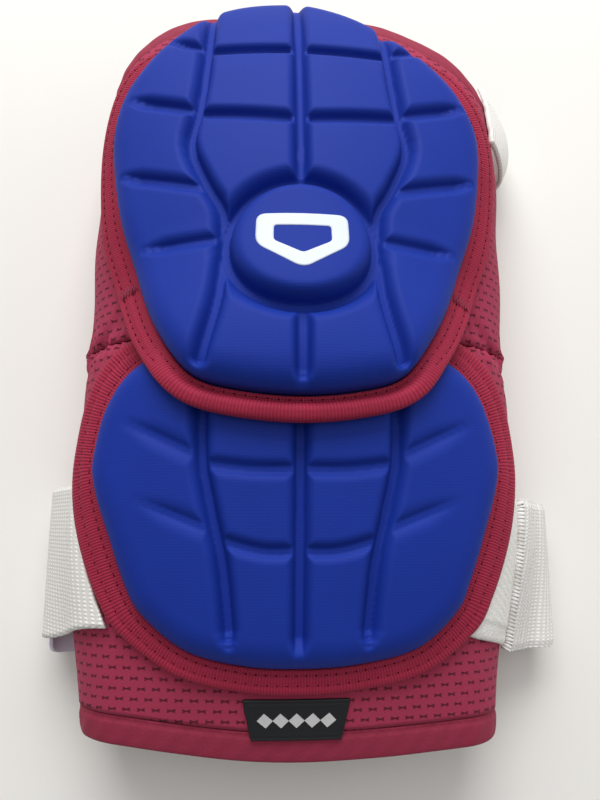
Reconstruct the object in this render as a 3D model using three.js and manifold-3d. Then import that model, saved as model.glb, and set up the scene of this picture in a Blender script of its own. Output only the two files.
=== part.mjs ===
// Baseball elbow guard, lying with its pads up on a table, in millimetres, +Z up, +Y towards the upper arm.
// A fabric body arches as if round an arm. Two foam pads, each edged with tape, are sewn on it, and two
// white straps cross underneath. Places on the cloth are given as (t, y, d): t is measured round the arm
// from the crown line, y along the arm, and d straight out of the cloth's outer face.
import * as THREE from 'three';
import Module from 'manifold-3d';

const wasm = await Module();
wasm.setup();

// Driving sizes
const lowerLength = 120.3;
const upperLength = 129.5;
const bodyHalfWidth = 71;
const crownHeight = 62.5;
const sideLevel = 23;
const wall = 2.5;
const hemWidth = 8.5;
const hemThickness = 3.2;
const curlAngle = 80;
const cornerDrop = 30;
const cornerRun = 54;
const cornerStartLeft = 30;
const cornerStartRight = 25;
const lowerCornerRiseLeft = 5;
const lowerCornerRiseRight = 1.8;
const clearance = 0.3;
const seat = 0.5;

const upperPadHalfWidth = 57.3;
const upperPadThickness = 10;
const upperPadTopInset = 3.3;
const flapOverlap = 20.8;
const flapHinge = 36;
const flapRamp = 9.5;
const flapSag = 16;
const lowerPadHalfWidth = 57.5;
const lowerPadThickness = 9;
const lowerPadTopInset = 2.5;
const lowerPadBottomInset = 27;
const padEdgeShare = 0.33;

const grooveWidth = 7;
const grooveFloor = 2;
const upperGrooveDepth = 5.5;
const lowerGrooveDepth = 3.8;
const grooveEndShare = 0.25;
const bossHalfWidth = 18.3;
const bossHalfLength = 18.6;
const bossRise = 3.4;
const bossFromSeam = 22.2;
const bossGroove = 4.4;

const tapeWidth = 7.4;
const upperTapeSideWidth = 10.5;
const lowerTapeSideWidth = 12;
const lowerTapeSwell = 3;
const tapeNarrowing = 36;
const tapeThickness = 2.8;
const rolledEdge = 5.2;

const labelWidth = 30;
const labelLength = 11;
const labelTaper = 0.84;
const labelThickness = 0.8;
const labelGap = 1.8;

const strapThickness = 1.6;
const strapOverhangLeft = 10.5;
const strapOverhangRight = 19;
const strapSlant = 2;
const lowerStrapWidth = 47;
const lowerStrapCentre = 68;
const upperStrapWidth = 28;
const upperStrapCentre = 92;
const upperStrapOverhang = 15.5;
const upperStrapBow = 4;
const sideRise = 7;
const foldRise = 10;
const foldRun = 12;
const strapRoot = 72.3;
const rootPull = 0.8;
const foldPull = 0.7;
const strapHemThickness = 3.2;
const plushThickness = 1.6;
const plushStart = 50;
const plushEnd = 81;
const pullTabThickness = 1.2;
const pullTabOverhang = 4.5;

// Sections of the body from the lower end to the upper end. `along` is a share of the lower length below
// the seam (negative) or of the upper length above it. The rest are shares: half widths of bodyHalfWidth,
// crown of crownHeight, side of sideLevel, and shoulder of the rise from side to crown.
const sections = [
  { along: -1.0, left: 0.91, right: 0.905, crown: 0.648, side: 0.783, shoulder: 0.756 },
  { along: -0.765, left: 0.955, right: 0.932, crown: 0.768, side: 0.87, shoulder: 0.786 },
  { along: -0.445, left: 1.0, right: 1.021, crown: 0.88, side: 0.957, shoulder: 0.818 },
  { along: 0.015, left: 0.962, right: 1.011, crown: 0.992, side: 1.0, shoulder: 0.769 },
  { along: 0.33, left: 0.962, right: 1.028, crown: 1.0, side: 1.0, shoulder: 0.76 },
  { along: 0.64, left: 0.951, right: 1.042, crown: 0.896, side: 0.957, shoulder: 0.794 },
  { along: 0.836, left: 0.908, right: 0.993, crown: 0.752, side: 0.87, shoulder: 0.815 },
  { along: 1.0, left: 0.8, right: 0.88, crown: 0.565, side: 0.735, shoulder: 0.842 },
];

// Outlines of the pads: how far each reaches to the left and to the right, as shares of its half width, and
// where along it, as shares of its length from its lower end.
const upperOutline = [
  { left: 0, right: 0, along: 0 }, { left: 0.26, right: 0.25, along: 0.01 },
  { left: 0.46, right: 0.44, along: 0.035 }, { left: 0.595, right: 0.565, along: 0.097 },
  { left: 0.765, right: 0.75, along: 0.216 }, { left: 0.912, right: 0.908, along: 0.357 },
  { left: 0.978, right: 0.978, along: 0.472 }, { left: 1.0, right: 1.0, along: 0.6 },
  { left: 0.944, right: 0.91, along: 0.703 }, { left: 0.825, right: 0.75, along: 0.79 },
  { left: 0.71, right: 0.59, along: 0.852 }, { left: 0.5, right: 0.34, along: 0.94 },
  { left: 0.28, right: 0.15, along: 0.985 }, { left: 0, right: 0, along: 1.0 },
];
const lowerOutline = [
  { left: 0, right: 0, along: 0 }, { left: 0.26, right: 0.28, along: 0.01 },
  { left: 0.53, right: 0.58, along: 0.055 }, { left: 0.745, right: 0.78, along: 0.161 },
  { left: 0.825, right: 0.845, along: 0.246 }, { left: 0.918, right: 0.93, along: 0.403 },
  { left: 0.992, right: 0.995, along: 0.554 }, { left: 1.0, right: 1.005, along: 0.645 },
  { left: 0.935, right: 0.935, along: 0.815 }, { left: 0.79, right: 0.79, along: 0.922 },
  { left: 0.52, right: 0.52, along: 0.985 }, { left: 0, right: 0, along: 1.0 },
];

// How a pad's top swells from its edge: reach is a share of the way from its middle to its outline, height a
// share of its thickness.
const padCrown = [
  { reach: 1.0, height: padEdgeShare }, { reach: 0.965, height: 0.66 }, { reach: 0.91, height: 0.88 },
  { reach: 0.83, height: 0.97 }, { reach: 0.68, height: 1.0 }, { reach: 0.5, height: 1.0 },
  { reach: 0.32, height: 1.0 }, { reach: 0.16, height: 1.0 }, { reach: 0.05, height: 1.0 },
];

// Grooves of the pads, on the same shares as the outlines. A mirrored groove is cut on both sides.
const upperGrooves = [
  { mirrored: true, run: [[0.485, 0.97], [0.488, 0.737], [0.51, 0.612], [0.54, 0.524], [0.445, 0.426],
    [0.34, 0.35]] },
  { mirrored: true, run: [[0.34, 0.235], [0.352, 0.161], [0.4, 0.045]] },
  { mirrored: false, run: [[0, 0.96], [0, 0.43]] },
  { mirrored: false, run: [[0, 0.152], [0, 0.012]] },
  { mirrored: true, run: [[0.7, 0.82], [0.485, 0.785]] },
  { mirrored: true, run: [[0.87, 0.655], [0.545, 0.612]] },
  { mirrored: true, run: [[0.88, 0.468], [0.515, 0.43]] },
  { mirrored: true, run: [[0.73, 0.296], [0.36, 0.303]] },
  { mirrored: true, run: [[0.455, 0.772], [0.045, 0.774]] },
  { mirrored: true, run: [[0.482, 0.592], [0.045, 0.577]] },
];
const lowerGrooves = [
  { mirrored: true, run: [[0.446, 0.76], [0.45, 0.63], [0.405, 0.466], [0.352, 0.31], [0.31, 0.092]] },
  { mirrored: false, run: [[0, 0.72], [0, 0.065]] },
  { mirrored: true, run: [[0.43, 0.606], [0.215, 0.588], [0, 0.588]] },
  { mirrored: true, run: [[0.345, 0.378], [0.17, 0.349], [0, 0.349]] },
  { mirrored: true, run: [[0.78, 0.722], [0.51, 0.637]] },
  { mirrored: true, run: [[0.71, 0.485], [0.475, 0.425]] },
];

// Counts of steps, kept low because the cloth's fine surface isn't modelled here
const stepsAcross = 36;
const stepsAlong = 8;
const outlineSteps = 46;
const grooveStep = 11;
const foldSteps = 5;
const tabSteps = 7;
const bossSides = 28;
const ringSteps = 14;

const floorLevel = strapThickness + clearance;
const lowerEnd = -lowerLength;
const upperEnd = upperLength;

const smooth = (share) => {
  const s = Math.min(1, Math.max(0, share));
  return s * s * (3 - 2 * s);
};
const mix = (a, b, share) => a + (b - a) * share;

// The body's section at y, read from the table with smooth slopes between its rows
const stationOf = (row) => row.along * (row.along < 0 ? lowerLength : upperLength);

function sectionAt(y) {
  const last = sections.length - 1;
  let i = 0;
  while (i < last - 1 && y > stationOf(sections[i + 1])) i += 1;
  const start = stationOf(sections[i]);
  const step = stationOf(sections[i + 1]) - start;
  const u = Math.min(1, Math.max(0, (y - start) / step));
  const read = (column) => {
    const value = (k) => sections[Math.min(last, Math.max(0, k))][column];
    const slope = (k) => {
      const low = Math.max(0, k - 1);
      const high = Math.min(last, k + 1);
      return (value(high) - value(low)) / (stationOf(sections[high]) - stationOf(sections[low])) * step;
    };
    const [a, b, m, n] = [value(i), value(i + 1), slope(i), slope(i + 1)];
    return a + u * (m + u * (3 * (b - a) - 2 * m - n + u * (2 * (a - b) + m + n)));
  };
  const side = read('side') * sideLevel;
  const rise = read('crown') * crownHeight - side;
  return {
    left: read('left') * bodyHalfWidth, right: read('right') * bodyHalfWidth, side, rise,
    shoulder: read('shoulder') * rise,
  };
}

// The outer face of the cloth: a wide arc over the crown, a tight one at the shoulder down to the side, and
// one that curls under to the straps. Returns the point, its outward normal and the length to the side.
function clothAt(t, y) {
  const s = sectionAt(y);
  const half = t < 0 ? s.left : s.right;
  const sign = t < 0 ? -1 : 1;
  const r = s.shoulder;
  const crownRadius = ((half - r) ** 2 + s.rise ** 2 - r ** 2) / (2 * (s.rise - r));
  const turn = Math.asin((half - r) / (crownRadius - r));
  const crownRun = crownRadius * turn;
  const toSide = crownRun + r * (Math.PI / 2 - turn);
  const curl = s.side - floorLevel;
  const run = Math.abs(t);
  let [x, z, angle] = [0, 0, 0];
  if (run < crownRun) {
    angle = run / crownRadius;
    x = crownRadius * Math.sin(angle);
    z = s.side + s.rise - crownRadius + crownRadius * Math.cos(angle);
  } else if (run < toSide) {
    angle = turn + (run - crownRun) / r;
    x = half - r + r * Math.sin(angle);
    z = s.side + r * Math.cos(angle);
  } else {
    angle = Math.PI / 2 + (run - toSide) / curl;
    x = half - curl + curl * Math.sin(angle);
    z = s.side + curl * Math.cos(angle);
  }
  const normal = new THREE.Vector3(sign * Math.sin(angle), 0, Math.cos(angle));
  return { point: new THREE.Vector3(sign * x, y, z), normal, toSide, curl };
}

const onCloth = (t, y, d) => {
  const { point, normal } = clothAt(t, y);
  return point.addScaledVector(normal, d);
};

// The upper pad's free flap climbs over the lower pad's top edge from its hinge line, which sags at the sides
const flapLift = (t, y) => {
  const above = y + flapSag * (t / upperPadHalfWidth) ** 2;
  const share = smooth((flapHinge - above) / (flapHinge + lowerPadTopInset + flapRamp));
  return seat + (lowerPadThickness + clearance) * share;
};

// A closed body from loops of points: neighbours are joined, and each end is closed over its own loop, which
// runs out along one side and back along the other
function skin(loops, closed = false) {
  const count = loops[0].length;
  const positions = loops.flat().flatMap((p) => [p.x, p.y, p.z]);
  const faces = [];
  const quad = (a, b, c, d) => faces.push(a, b, c, a, c, d);
  const rounds = closed ? loops.length : loops.length - 1;
  for (let k = 0; k < rounds; k += 1) {
    const [here, next] = [k * count, ((k + 1) % loops.length) * count];
    for (let i = 0; i < count; i += 1) {
      const j = (i + 1) % count;
      quad(here + i, here + j, next + j, next + i);
    }
  }
  if (!closed) {
    const end = (loops.length - 1) * count;
    for (let i = 0; i < count / 2 - 1; i += 1) {
      quad(count - 1 - i, count - 2 - i, i + 1, i);
      quad(end + i, end + i + 1, end + count - 2 - i, end + count - 1 - i);
    }
  }
  return solid(positions, faces);
}

function solid(positions, faces) {
  let triangles = Uint32Array.from(faces);
  if (volume(positions, triangles) < 0) triangles = triangles.reverse();
  return new wasm.Manifold(new wasm.Mesh({
    numProp: 3, vertProperties: Float32Array.from(positions), triVerts: triangles,
  }));
}

function volume(positions, triangles) {
  const corner = (i) => new THREE.Vector3().fromArray(positions, 3 * triangles[i]);
  let total = 0;
  for (let i = 0; i < triangles.length; i += 3) {
    total += corner(i).dot(corner(i + 1).cross(corner(i + 2))) / 6;
  }
  return total;
}

function mesh(name, body, color, roughness) {
  const { vertProperties, triVerts } = body.getMesh();
  const geometry = new THREE.BufferGeometry();
  geometry.setAttribute('position', new THREE.BufferAttribute(vertProperties, 3));
  geometry.setIndex(new THREE.BufferAttribute(triVerts, 1));
  geometry.computeVertexNormals();
  const material = new THREE.MeshStandardMaterial({ color, roughness, metalness: 0 });
  const part = new THREE.Mesh(geometry, material);
  part.name = name;
  return part;
}

// A cloth panel between two lines across the arm, from one curled edge to the other
function panel(startAt, endAt, steps, thickness) {
  const loops = [];
  for (let k = 0; k <= steps; k += 1) {
    const outer = [];
    const inner = [];
    for (let i = 0; i <= stepsAcross; i += 1) {
      const across = (2 * i) / stepsAcross - 1;
      const middle = clothAt(across, 0);
      const reach = middle.toSide + middle.curl * THREE.MathUtils.degToRad(curlAngle);
      const y = mix(startAt(across * reach), endAt(across * reach), k / steps);
      outer.push(onCloth(across * reach, y, 0));
      inner.unshift(onCloth(across * reach, y, -thickness));
    }
    loops.push([...outer, ...inner]);
  }
  return skin(loops);
}

// The body's two ends. Their corners are cut away at the upper end and drawn up at the lower one.
const upperEndAt = (t) => {
  const start = t < 0 ? cornerStartLeft : cornerStartRight;
  return upperEnd - cornerDrop * smooth((Math.abs(t) - start) / cornerRun);
};
const lowerEndAt = (t) => (
  lowerEnd + (t < 0 ? lowerCornerRiseLeft : lowerCornerRiseRight) * smooth(Math.abs(t) / bodyHalfWidth));

// Outlines of the pads as smooth closed lines in (t, y)
function outlineOf(table, halfWidth, start, end) {
  const place = (row, across) => new THREE.Vector3(across * halfWidth, mix(start, end, row.along), 0);
  const right = table.map((row) => place(row, row.right));
  const left = table.slice(1, -1).reverse().map((row) => place(row, -row.left));
  return new THREE.CatmullRomCurve3([...right, ...left], true).getSpacedPoints(outlineSteps).slice(0, -1);
}

const outwardOf = (outline, i) => {
  const n = outline.length;
  const along = outline[(i + 1) % n].clone().sub(outline[(i + n - 1) % n]).normalize();
  return new THREE.Vector3(along.y, -along.x, 0);
};

const upperPadStart = -flapOverlap;
const upperPadEnd = upperEnd - upperPadTopInset;
const lowerPadStart = lowerEnd + lowerPadBottomInset;
const lowerPadEnd = -lowerPadTopInset;
const upperEdge = outlineOf(upperOutline, upperPadHalfWidth, upperPadStart, upperPadEnd);
const lowerEdge = outlineOf(lowerOutline, lowerPadHalfWidth, lowerPadStart, lowerPadEnd);

// A foam pad without its grooves
function pad(outline, thickness, liftAt) {
  const middle = new THREE.Vector3(0, (outline[0].y + outline[outline.length / 2].y) / 2, 0);
  const loop = (reach, height) => outline.map((p) => {
    const q = middle.clone().lerp(p, reach);
    return onCloth(q.x, q.y, liftAt(q.x, q.y) + height);
  });
  const bottom = [...padCrown].reverse().map((row) => loop(row.reach, 0));
  const top = padCrown.map((row) => loop(row.reach, row.height * thickness));
  return skin([...bottom, ...top]);
}

// A wedge that cuts one groove along a run of (t, y) points
function grooveCutter(points, thickness, depth, liftAt, closed = false) {
  const run = new THREE.CatmullRomCurve3(points, closed);
  const steps = Math.max(2, Math.round(run.getLength() / grooveStep));
  const loops = [];
  for (let k = 0; k < (closed ? steps : steps + 1); k += 1) {
    const p = run.getPointAt(k / steps);
    const along = run.getTangentAt(k / steps);
    const fade = !closed && (k === 0 || k === steps) ? grooveEndShare : 1;
    const floor = thickness - depth * fade;
    const high = thickness + bossRise;
    const mouth = grooveFloor / 2 + ((grooveWidth - grooveFloor) / 2) * ((high - floor) / depth);
    const at = (across, height) => {
      const [t, y] = [p.x + along.y * across, p.y - along.x * across];
      return onCloth(t, y, liftAt(t, y) + height);
    };
    loops.push([at(-mouth, high), at(-grooveFloor / 2, floor), at(grooveFloor / 2, floor), at(mouth, high)]);
  }
  return skin(loops, closed);
}

function cutGrooves(body, table, halfWidth, start, end, thickness, depth, liftAt) {
  for (const groove of table) {
    for (const side of groove.mirrored ? [-1, 1] : [1]) {
      const points = groove.run.map(([across, along]) => (
        new THREE.Vector3(side * across * halfWidth, mix(start, end, along), 0)));
      body = body.subtract(grooveCutter(points, thickness, depth, liftAt));
    }
  }
  return body;
}

// The boss's wall and top: inset is a share of its half width, height a share of its rise over the pad
const bossProfile = [
  { inset: 0, height: 0.35 }, { inset: 0.085, height: 0.8 }, { inset: 0.5, height: 1.0 },
];

// The round boss over the elbow, in its own ring groove
function bossLoop(grow, height, steps) {
  return Array.from({ length: steps }, (_, i) => {
    const angle = (2 * Math.PI * i) / steps;
    const t = (bossHalfWidth + grow) * Math.cos(angle);
    const y = bossFromSeam + (bossHalfLength + grow) * Math.sin(angle);
    return height === null ? new THREE.Vector3(t, y, 0) : onCloth(t, y, flapLift(t, y) + height);
  });
}

function boss() {
  const foot = upperPadThickness - bossGroove - seat;
  return skin([
    bossLoop(-bossHalfWidth / 2, foot, bossSides), bossLoop(0, foot, bossSides),
    ...bossProfile.map((row) => (
      bossLoop(-bossHalfWidth * row.inset, upperPadThickness + bossRise * row.height, bossSides))),
  ]);
}

function upperPad() {
  let body = pad(upperEdge, upperPadThickness, flapLift);
  body = cutGrooves(body, upperGrooves, upperPadHalfWidth, upperPadStart, upperPadEnd, upperPadThickness,
    upperGrooveDepth, flapLift);
  const ring = bossLoop(grooveFloor, null, ringSteps);
  body = body.subtract(grooveCutter(ring, upperPadThickness, bossGroove, flapLift, true));
  return body.add(boss());
}

const flat = () => seat;

function lowerPad() {
  return cutGrooves(pad(lowerEdge, lowerPadThickness, flat), lowerGrooves, lowerPadHalfWidth, lowerPadStart,
    lowerPadEnd, lowerPadThickness, lowerGrooveDepth, flat);
}

// Tape round a pad: a low cushion section that follows the outline, wider at the sides, and rolled thick
// where rollAt says so
const upperTapeWidth = (p) => {
  const room = upperPadTopInset - clearance;
  const widest = mix(tapeWidth, upperTapeSideWidth, smooth(2 * Math.abs(p.x) / upperPadHalfWidth - 1));
  return mix(widest, room, smooth(2 * (p.y - upperPadEnd) / tapeNarrowing + 2));
};
const lowerTapeWidth = (p) => (
  mix(tapeWidth, lowerTapeSideWidth, smooth((Math.abs(p.x) / lowerPadHalfWidth) ** lowerTapeSwell)));

function tapeRing(outline, widthAt, grow) {
  return outline.map((p, i) => p.clone().addScaledVector(outwardOf(outline, i), widthAt(p) * grow));
}

function tape(outline, widthAt, liftAt, rollAt) {
  const section = [
    { out: 0, height: 0 }, { out: 0.43, height: 0 }, { out: 0.86, height: 0 }, { out: 1, height: 0.5 },
    { out: 0.84, height: 0.95 }, { out: 0.5, height: 1 }, { out: 0, height: 0.9 },
  ];
  const loops = outline.map((p, i) => section.map((row) => {
    const out = clearance + row.out * (widthAt(p) - clearance);
    const q = p.clone().addScaledVector(outwardOf(outline, i), out);
    return onCloth(q.x, q.y, liftAt(q.x, q.y) + row.height * mix(tapeThickness, rolledEdge, rollAt(p)));
  }));
  return skin(loops, true);
}

const upperTape = () => tape(upperEdge, upperTapeWidth, flapLift, (p) => smooth(-p.y / flapOverlap));
const lowerTape = () => tape(lowerEdge, lowerTapeWidth, flat, () => 0);

// The woven label, narrower at its lower edge, between the lower tape and the hem
function label() {
  const top = lowerPadStart - tapeWidth - labelGap;
  const loops = [0, 1 / 3, 2 / 3, 1].map((share) => {
    const half = (labelWidth / 2) * mix(labelTaper, 1, share);
    const y = top - labelLength * (1 - share);
    const row = (d) => [-1, -0.5, 0, 0.5, 1].map((across) => onCloth(across * half, y, d));
    return [...row(clearance + labelThickness), ...row(clearance).reverse()];
  });
  return skin(loops);
}

// A flat band along a path in X and Z, thick across its path. edgesAt gives its two edges along the arm at
// each share of the path, and slant turns it a little as it crosses the arm.
function band(pathAt, edgesAt, thickness, slant = 0, rows = 4) {
  const lines = Array.from({ length: rows + 1 }, (_, k) => {
    const points = pathAt(mix(...edgesAt(0.5), k / rows));
    return points.map((p, i) => {
      const before = points[Math.max(0, i - 1)];
      const after = points[Math.min(points.length - 1, i + 1)];
      const along = after.clone().sub(before).normalize();
      const across = new THREE.Vector2(-along.y, along.x).multiplyScalar(thickness / 2);
      const y = mix(...edgesAt(i / (points.length - 1)), k / rows) - slant * (p.x / bodyHalfWidth);
      const at = (side) => new THREE.Vector3(p.x + side * across.x, y, p.y + side * across.y);
      return [at(1), at(-1)];
    });
  });
  return skin(lines[0].map((_, i) => [
    ...lines.map((line) => line[i][0]), ...lines.map((line) => line[i][1]).reverse()]));
}

// Centre line of a fold at one side, from the table up to its widest place; inset lays it inside the fold
function foldUp(side, reach, inset = 0) {
  return Array.from({ length: foldSteps + 1 }, (_, k) => {
    const angle = (Math.PI / 2) * (k / foldSteps);
    const x = reach - foldRun + (foldRun - inset) * Math.sin(angle);
    const z = strapThickness / 2 + foldRise - (foldRise - inset) * Math.cos(angle);
    return new THREE.Vector2(side * x, z);
  });
}

// Centre line from a fold's widest place to where the band lies on the body
function foldToBody(side, reach, y, d) {
  const { point, normal } = clothAt(side * strapRoot, y);
  point.addScaledVector(normal, d);
  const end = new THREE.Vector2(point.x, point.z);
  const down = new THREE.Vector2(side * normal.z, -side * normal.x);
  const start = new THREE.Vector2(side * reach, strapThickness / 2 + foldRise);
  const handle = start.clone().add(new THREE.Vector2(0, foldRise * foldPull));
  const arrive = end.clone().addScaledVector(down, foldRise * rootPull);
  return new THREE.CubicBezierCurve(start, handle, arrive, end).getPoints(foldSteps);
}

const onBody = (thickness) => clearance + thickness / 2;
const edgesOf = (centre, width) => () => [centre - width / 2, centre + width / 2];
const lowerStrapEdges = edgesOf(-lowerStrapCentre, lowerStrapWidth);
const leftFold = bodyHalfWidth + strapOverhangLeft - strapThickness / 2;
const rightFold = bodyHalfWidth + strapOverhangRight - strapHemThickness / 2;

// Where the lower tape's outer edge lies at y, from the crown line
function tapeEdgeAt(y) {
  const ring = tapeRing(lowerEdge, lowerTapeWidth, 1);
  let widest = 0;
  ring.forEach((p, i) => {
    const q = ring[(i + 1) % ring.length];
    if (p.x > 0 && (p.y - y) * (q.y - y) <= 0 && p.y !== q.y) {
      widest = Math.max(widest, mix(p.x, q.x, (y - p.y) / (q.y - p.y)));
    }
  });
  return widest;
}

// How far a band's edge has risen along the arm where it comes out beside the tape: all of it at its low edge
const risenAt = (y) => sideRise * (lowerStrapWidth / 2 - lowerStrapCentre - y) / lowerStrapWidth;

// The lower strap comes out beside the lower tape on the left, lies on the body and folds under it
function lowerStrap() {
  const onSide = (y) => {
    const start = Math.min(tapeEdgeAt(y) + 2 * clearance, strapRoot - clearance);
    return [0, 1 / 3, 2 / 3].map((share) => {
      const { point, normal } = clothAt(-mix(start, strapRoot, share), y);
      point.addScaledVector(normal, onBody(strapThickness) + seat + clearance);
      return new THREE.Vector2(point.x, point.z);
    });
  };
  const pathAt = (y) => [
    ...onSide(y + strapSlant + risenAt(y)),
    ...foldToBody(-1, leftFold, y + strapSlant + risenAt(y), onBody(strapThickness) + clearance).reverse(),
    ...foldUp(-1, leftFold).reverse().slice(1),
    ...foldUp(1, rightFold),
  ];
  const edgesAt = (share) => {
    const [start, end] = lowerStrapEdges();
    return [start + sideRise * smooth(1 - 2 * share), end];
  };
  return band(pathAt, edgesAt, strapThickness, strapSlant);
}

// The strap's thick end, fastened on the plush tab
function lowerStrapHem() {
  const pathAt = (y) => {
    const ride = plushThickness + clearance + onBody(strapHemThickness);
    const points = foldToBody(1, rightFold, y - strapSlant, ride);
    points[0].y += 3 * clearance;
    return points;
  };
  return band(pathAt, lowerStrapEdges, strapHemThickness, strapSlant);
}

// The brushed loop tab on the right, from the tape's edge round to the side. Its lower edge rises inwards.
function plushTab() {
  const [start, end] = lowerStrapEdges();
  const loops = Array.from({ length: tabSteps + 1 }, (_, k) => {
    const y = mix(start, end, k / tabSteps);
    const row = (d) => Array.from({ length: tabSteps + 1 }, (_, i) => {
      const risen = y - strapSlant + risenAt(y) * (1 - i / tabSteps);
      const inner = Math.max(plushStart, tapeEdgeAt(risen) + 2 * clearance);
      return onCloth(mix(inner, plushEnd, i / tabSteps), risen, d);
    });
    return [...row(clearance + plushThickness), ...row(clearance).reverse()];
  });
  return skin(loops);
}

// The smooth tab inside the strap's left fold, whose round end shows past the strap's lower edge
function pullTab() {
  const inset = strapThickness / 2 + onBody(pullTabThickness);
  const path = foldUp(-1, leftFold, inset);
  const [start, end] = lowerStrapEdges();
  const edgesAt = (share) => {
    const round = foldRise * (1 - Math.sqrt(1 - (2 * share - 1) ** 4));
    return [start - pullTabOverhang + round * 0.5, end - pullTabOverhang];
  };
  return band(() => path, edgesAt, pullTabThickness, strapSlant);
}

// The upper strap is sewn under the left side, crosses on the table and comes round the right side, where its
// fold bows outwards
function upperStrap() {
  const root = bodyHalfWidth - sideLevel;
  const pathAt = (y) => {
    const bow = upperStrapBow * ((2 * (y - upperStrapCentre)) / upperStrapWidth) ** 2;
    const fold = bodyHalfWidth + upperStrapOverhang - strapThickness / 2 - bow;
    return [
      new THREE.Vector2(-root - foldRun, strapThickness / 2),
      ...foldUp(1, fold),
      ...foldToBody(1, fold, y, onBody(strapThickness)).slice(1),
    ];
  };
  return band(pathAt, edgesOf(upperStrapCentre, upperStrapWidth), strapThickness);
}

const blue = 0x1f33a6;
const crimson = 0x9c2340;
const meshRed = 0x98304c;
const white = 0xe4e3de;
const hemStartAt = (t) => lowerEndAt(t) + hemWidth;
const hemEndAt = (t) => upperEndAt(t) - hemWidth;

const group = new THREE.Group();
group.add(
  mesh('upper_pad', upperPad(), blue, 0.55),
  mesh('lower_pad', lowerPad(), blue, 0.55),
  mesh('upper_binding', upperTape(), crimson, 0.8),
  mesh('lower_binding', lowerTape(), crimson, 0.8),
  mesh('upper_mesh', panel(() => clearance, (t) => hemEndAt(t) - clearance, stepsAlong, wall), meshRed, 0.85),
  mesh('lower_mesh', panel((t) => hemStartAt(t) + clearance, () => 0, stepsAlong, wall), meshRed, 0.85),
  mesh('upper_hem', panel(hemEndAt, upperEndAt, 1, hemThickness), crimson, 0.8),
  mesh('lower_hem', panel(lowerEndAt, hemStartAt, 1, hemThickness), crimson, 0.8),
  mesh('label', label(), 0x26282c, 0.7),
  mesh('lower_strap', lowerStrap(), white, 0.8),
  mesh('lower_strap_hem', lowerStrapHem(), white, 0.8),
  mesh('lower_plush_tab', plushTab(), 0xecebe6, 0.95),
  mesh('strap_pull_tab', pullTab(), 0xd5d0de, 0.5),
  mesh('upper_strap', upperStrap(), white, 0.8),
);

// The origin is under the middle of the whole guard, on the table
const bounds = new THREE.Box3().setFromObject(group);
const centre = bounds.getCenter(new THREE.Vector3());
group.position.set(-centre.x, -centre.y, -bounds.min.z);

export default group;
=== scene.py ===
# %% [markdown]
# An elbow guard, dressed over its CAD frame
# The guard lies with its two foam pads up, arched as if an arm were inside. This lesson loads the packed
# solids as a fixed frame, and then makes each soft part again as fine cloth, tape and foam, in the same
# place. Every piece is drawn first on the flat cloth, as a tailor would, and then bent round the arm.

# %% Load the frame
import math

import bmesh
import bpy
import numpy as np
from mathutils import Matrix, Vector


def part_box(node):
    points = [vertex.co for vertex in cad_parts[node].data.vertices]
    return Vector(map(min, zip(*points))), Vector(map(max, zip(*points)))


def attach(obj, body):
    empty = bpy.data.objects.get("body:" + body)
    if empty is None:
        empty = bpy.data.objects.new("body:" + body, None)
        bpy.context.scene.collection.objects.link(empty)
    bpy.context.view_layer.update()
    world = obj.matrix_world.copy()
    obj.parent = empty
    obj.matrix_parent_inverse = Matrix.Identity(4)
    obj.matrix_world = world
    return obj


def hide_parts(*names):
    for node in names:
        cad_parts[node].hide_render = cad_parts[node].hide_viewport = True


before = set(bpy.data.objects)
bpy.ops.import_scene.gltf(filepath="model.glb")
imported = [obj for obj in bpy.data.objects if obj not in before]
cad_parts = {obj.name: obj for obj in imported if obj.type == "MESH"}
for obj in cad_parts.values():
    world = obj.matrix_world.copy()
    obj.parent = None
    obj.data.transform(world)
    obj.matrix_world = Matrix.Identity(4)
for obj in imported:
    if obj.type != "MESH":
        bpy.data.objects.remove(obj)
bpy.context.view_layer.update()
print("nodes in the frame:", len(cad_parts))

# %% [markdown]
# Sizes
# All sizes are real ones in millimetres. They repeat the CAD model's driving sizes, so a piece made here
# lies in the space that its solid holds. Sections of the body are kept as shares of a few named sizes.

# %% Sizes of the guard
MM = 0.001
LOWER_LENGTH = 120.3
UPPER_LENGTH = 129.5
BODY_HALF_WIDTH = 71.0
CROWN_HEIGHT = 62.5
SIDE_LEVEL = 23.0
WALL = 2.5
HEM_WIDTH = 8.5
HEM_THICKNESS = 3.2
CURL_ANGLE = math.radians(80)
CORNER_DROP = 30.0
CORNER_RUN = 54.0
CORNER_START_LEFT = 30.0
CORNER_START_RIGHT = 25.0
LOWER_CORNER_RISE_LEFT = 5.0
LOWER_CORNER_RISE_RIGHT = 1.8
CLEARANCE = 0.3
SEAT = 0.5

UPPER_PAD_HALF_WIDTH = 57.3
UPPER_PAD_THICKNESS = 10.0
UPPER_PAD_TOP_INSET = 3.3
FLAP_OVERLAP = 20.8
FLAP_HINGE = 36.0
FLAP_RAMP = 9.5
FLAP_SAG = 16.0
LOWER_PAD_HALF_WIDTH = 57.5
LOWER_PAD_THICKNESS = 9.0
LOWER_PAD_TOP_INSET = 2.5
LOWER_PAD_BOTTOM_INSET = 27.0
BOSS_HALF_WIDTH = 18.3
BOSS_HALF_LENGTH = 18.6
BOSS_FROM_SEAM = 22.2
BOSS_RISE = 3.4
MOAT_DEPTH, MOAT_MIDDLE, MOAT_WIDTH, MOAT_FOOT = 4.8, 1.6, 5.4, 1.2
BOSS_FOOT, BOSS_ROUNDING, BOSS_SIDE_SHARE = 0.45, 4.5, 0.55

TAPE_WIDTH = 7.4
UPPER_TAPE_SIDE_WIDTH = 10.5
LOWER_TAPE_SIDE_WIDTH = 12.0
LOWER_TAPE_SWELL = 3
TAPE_NARROWING = 36.0
TAPE_THICKNESS = 2.8
ROLLED_EDGE = 5.2

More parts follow.
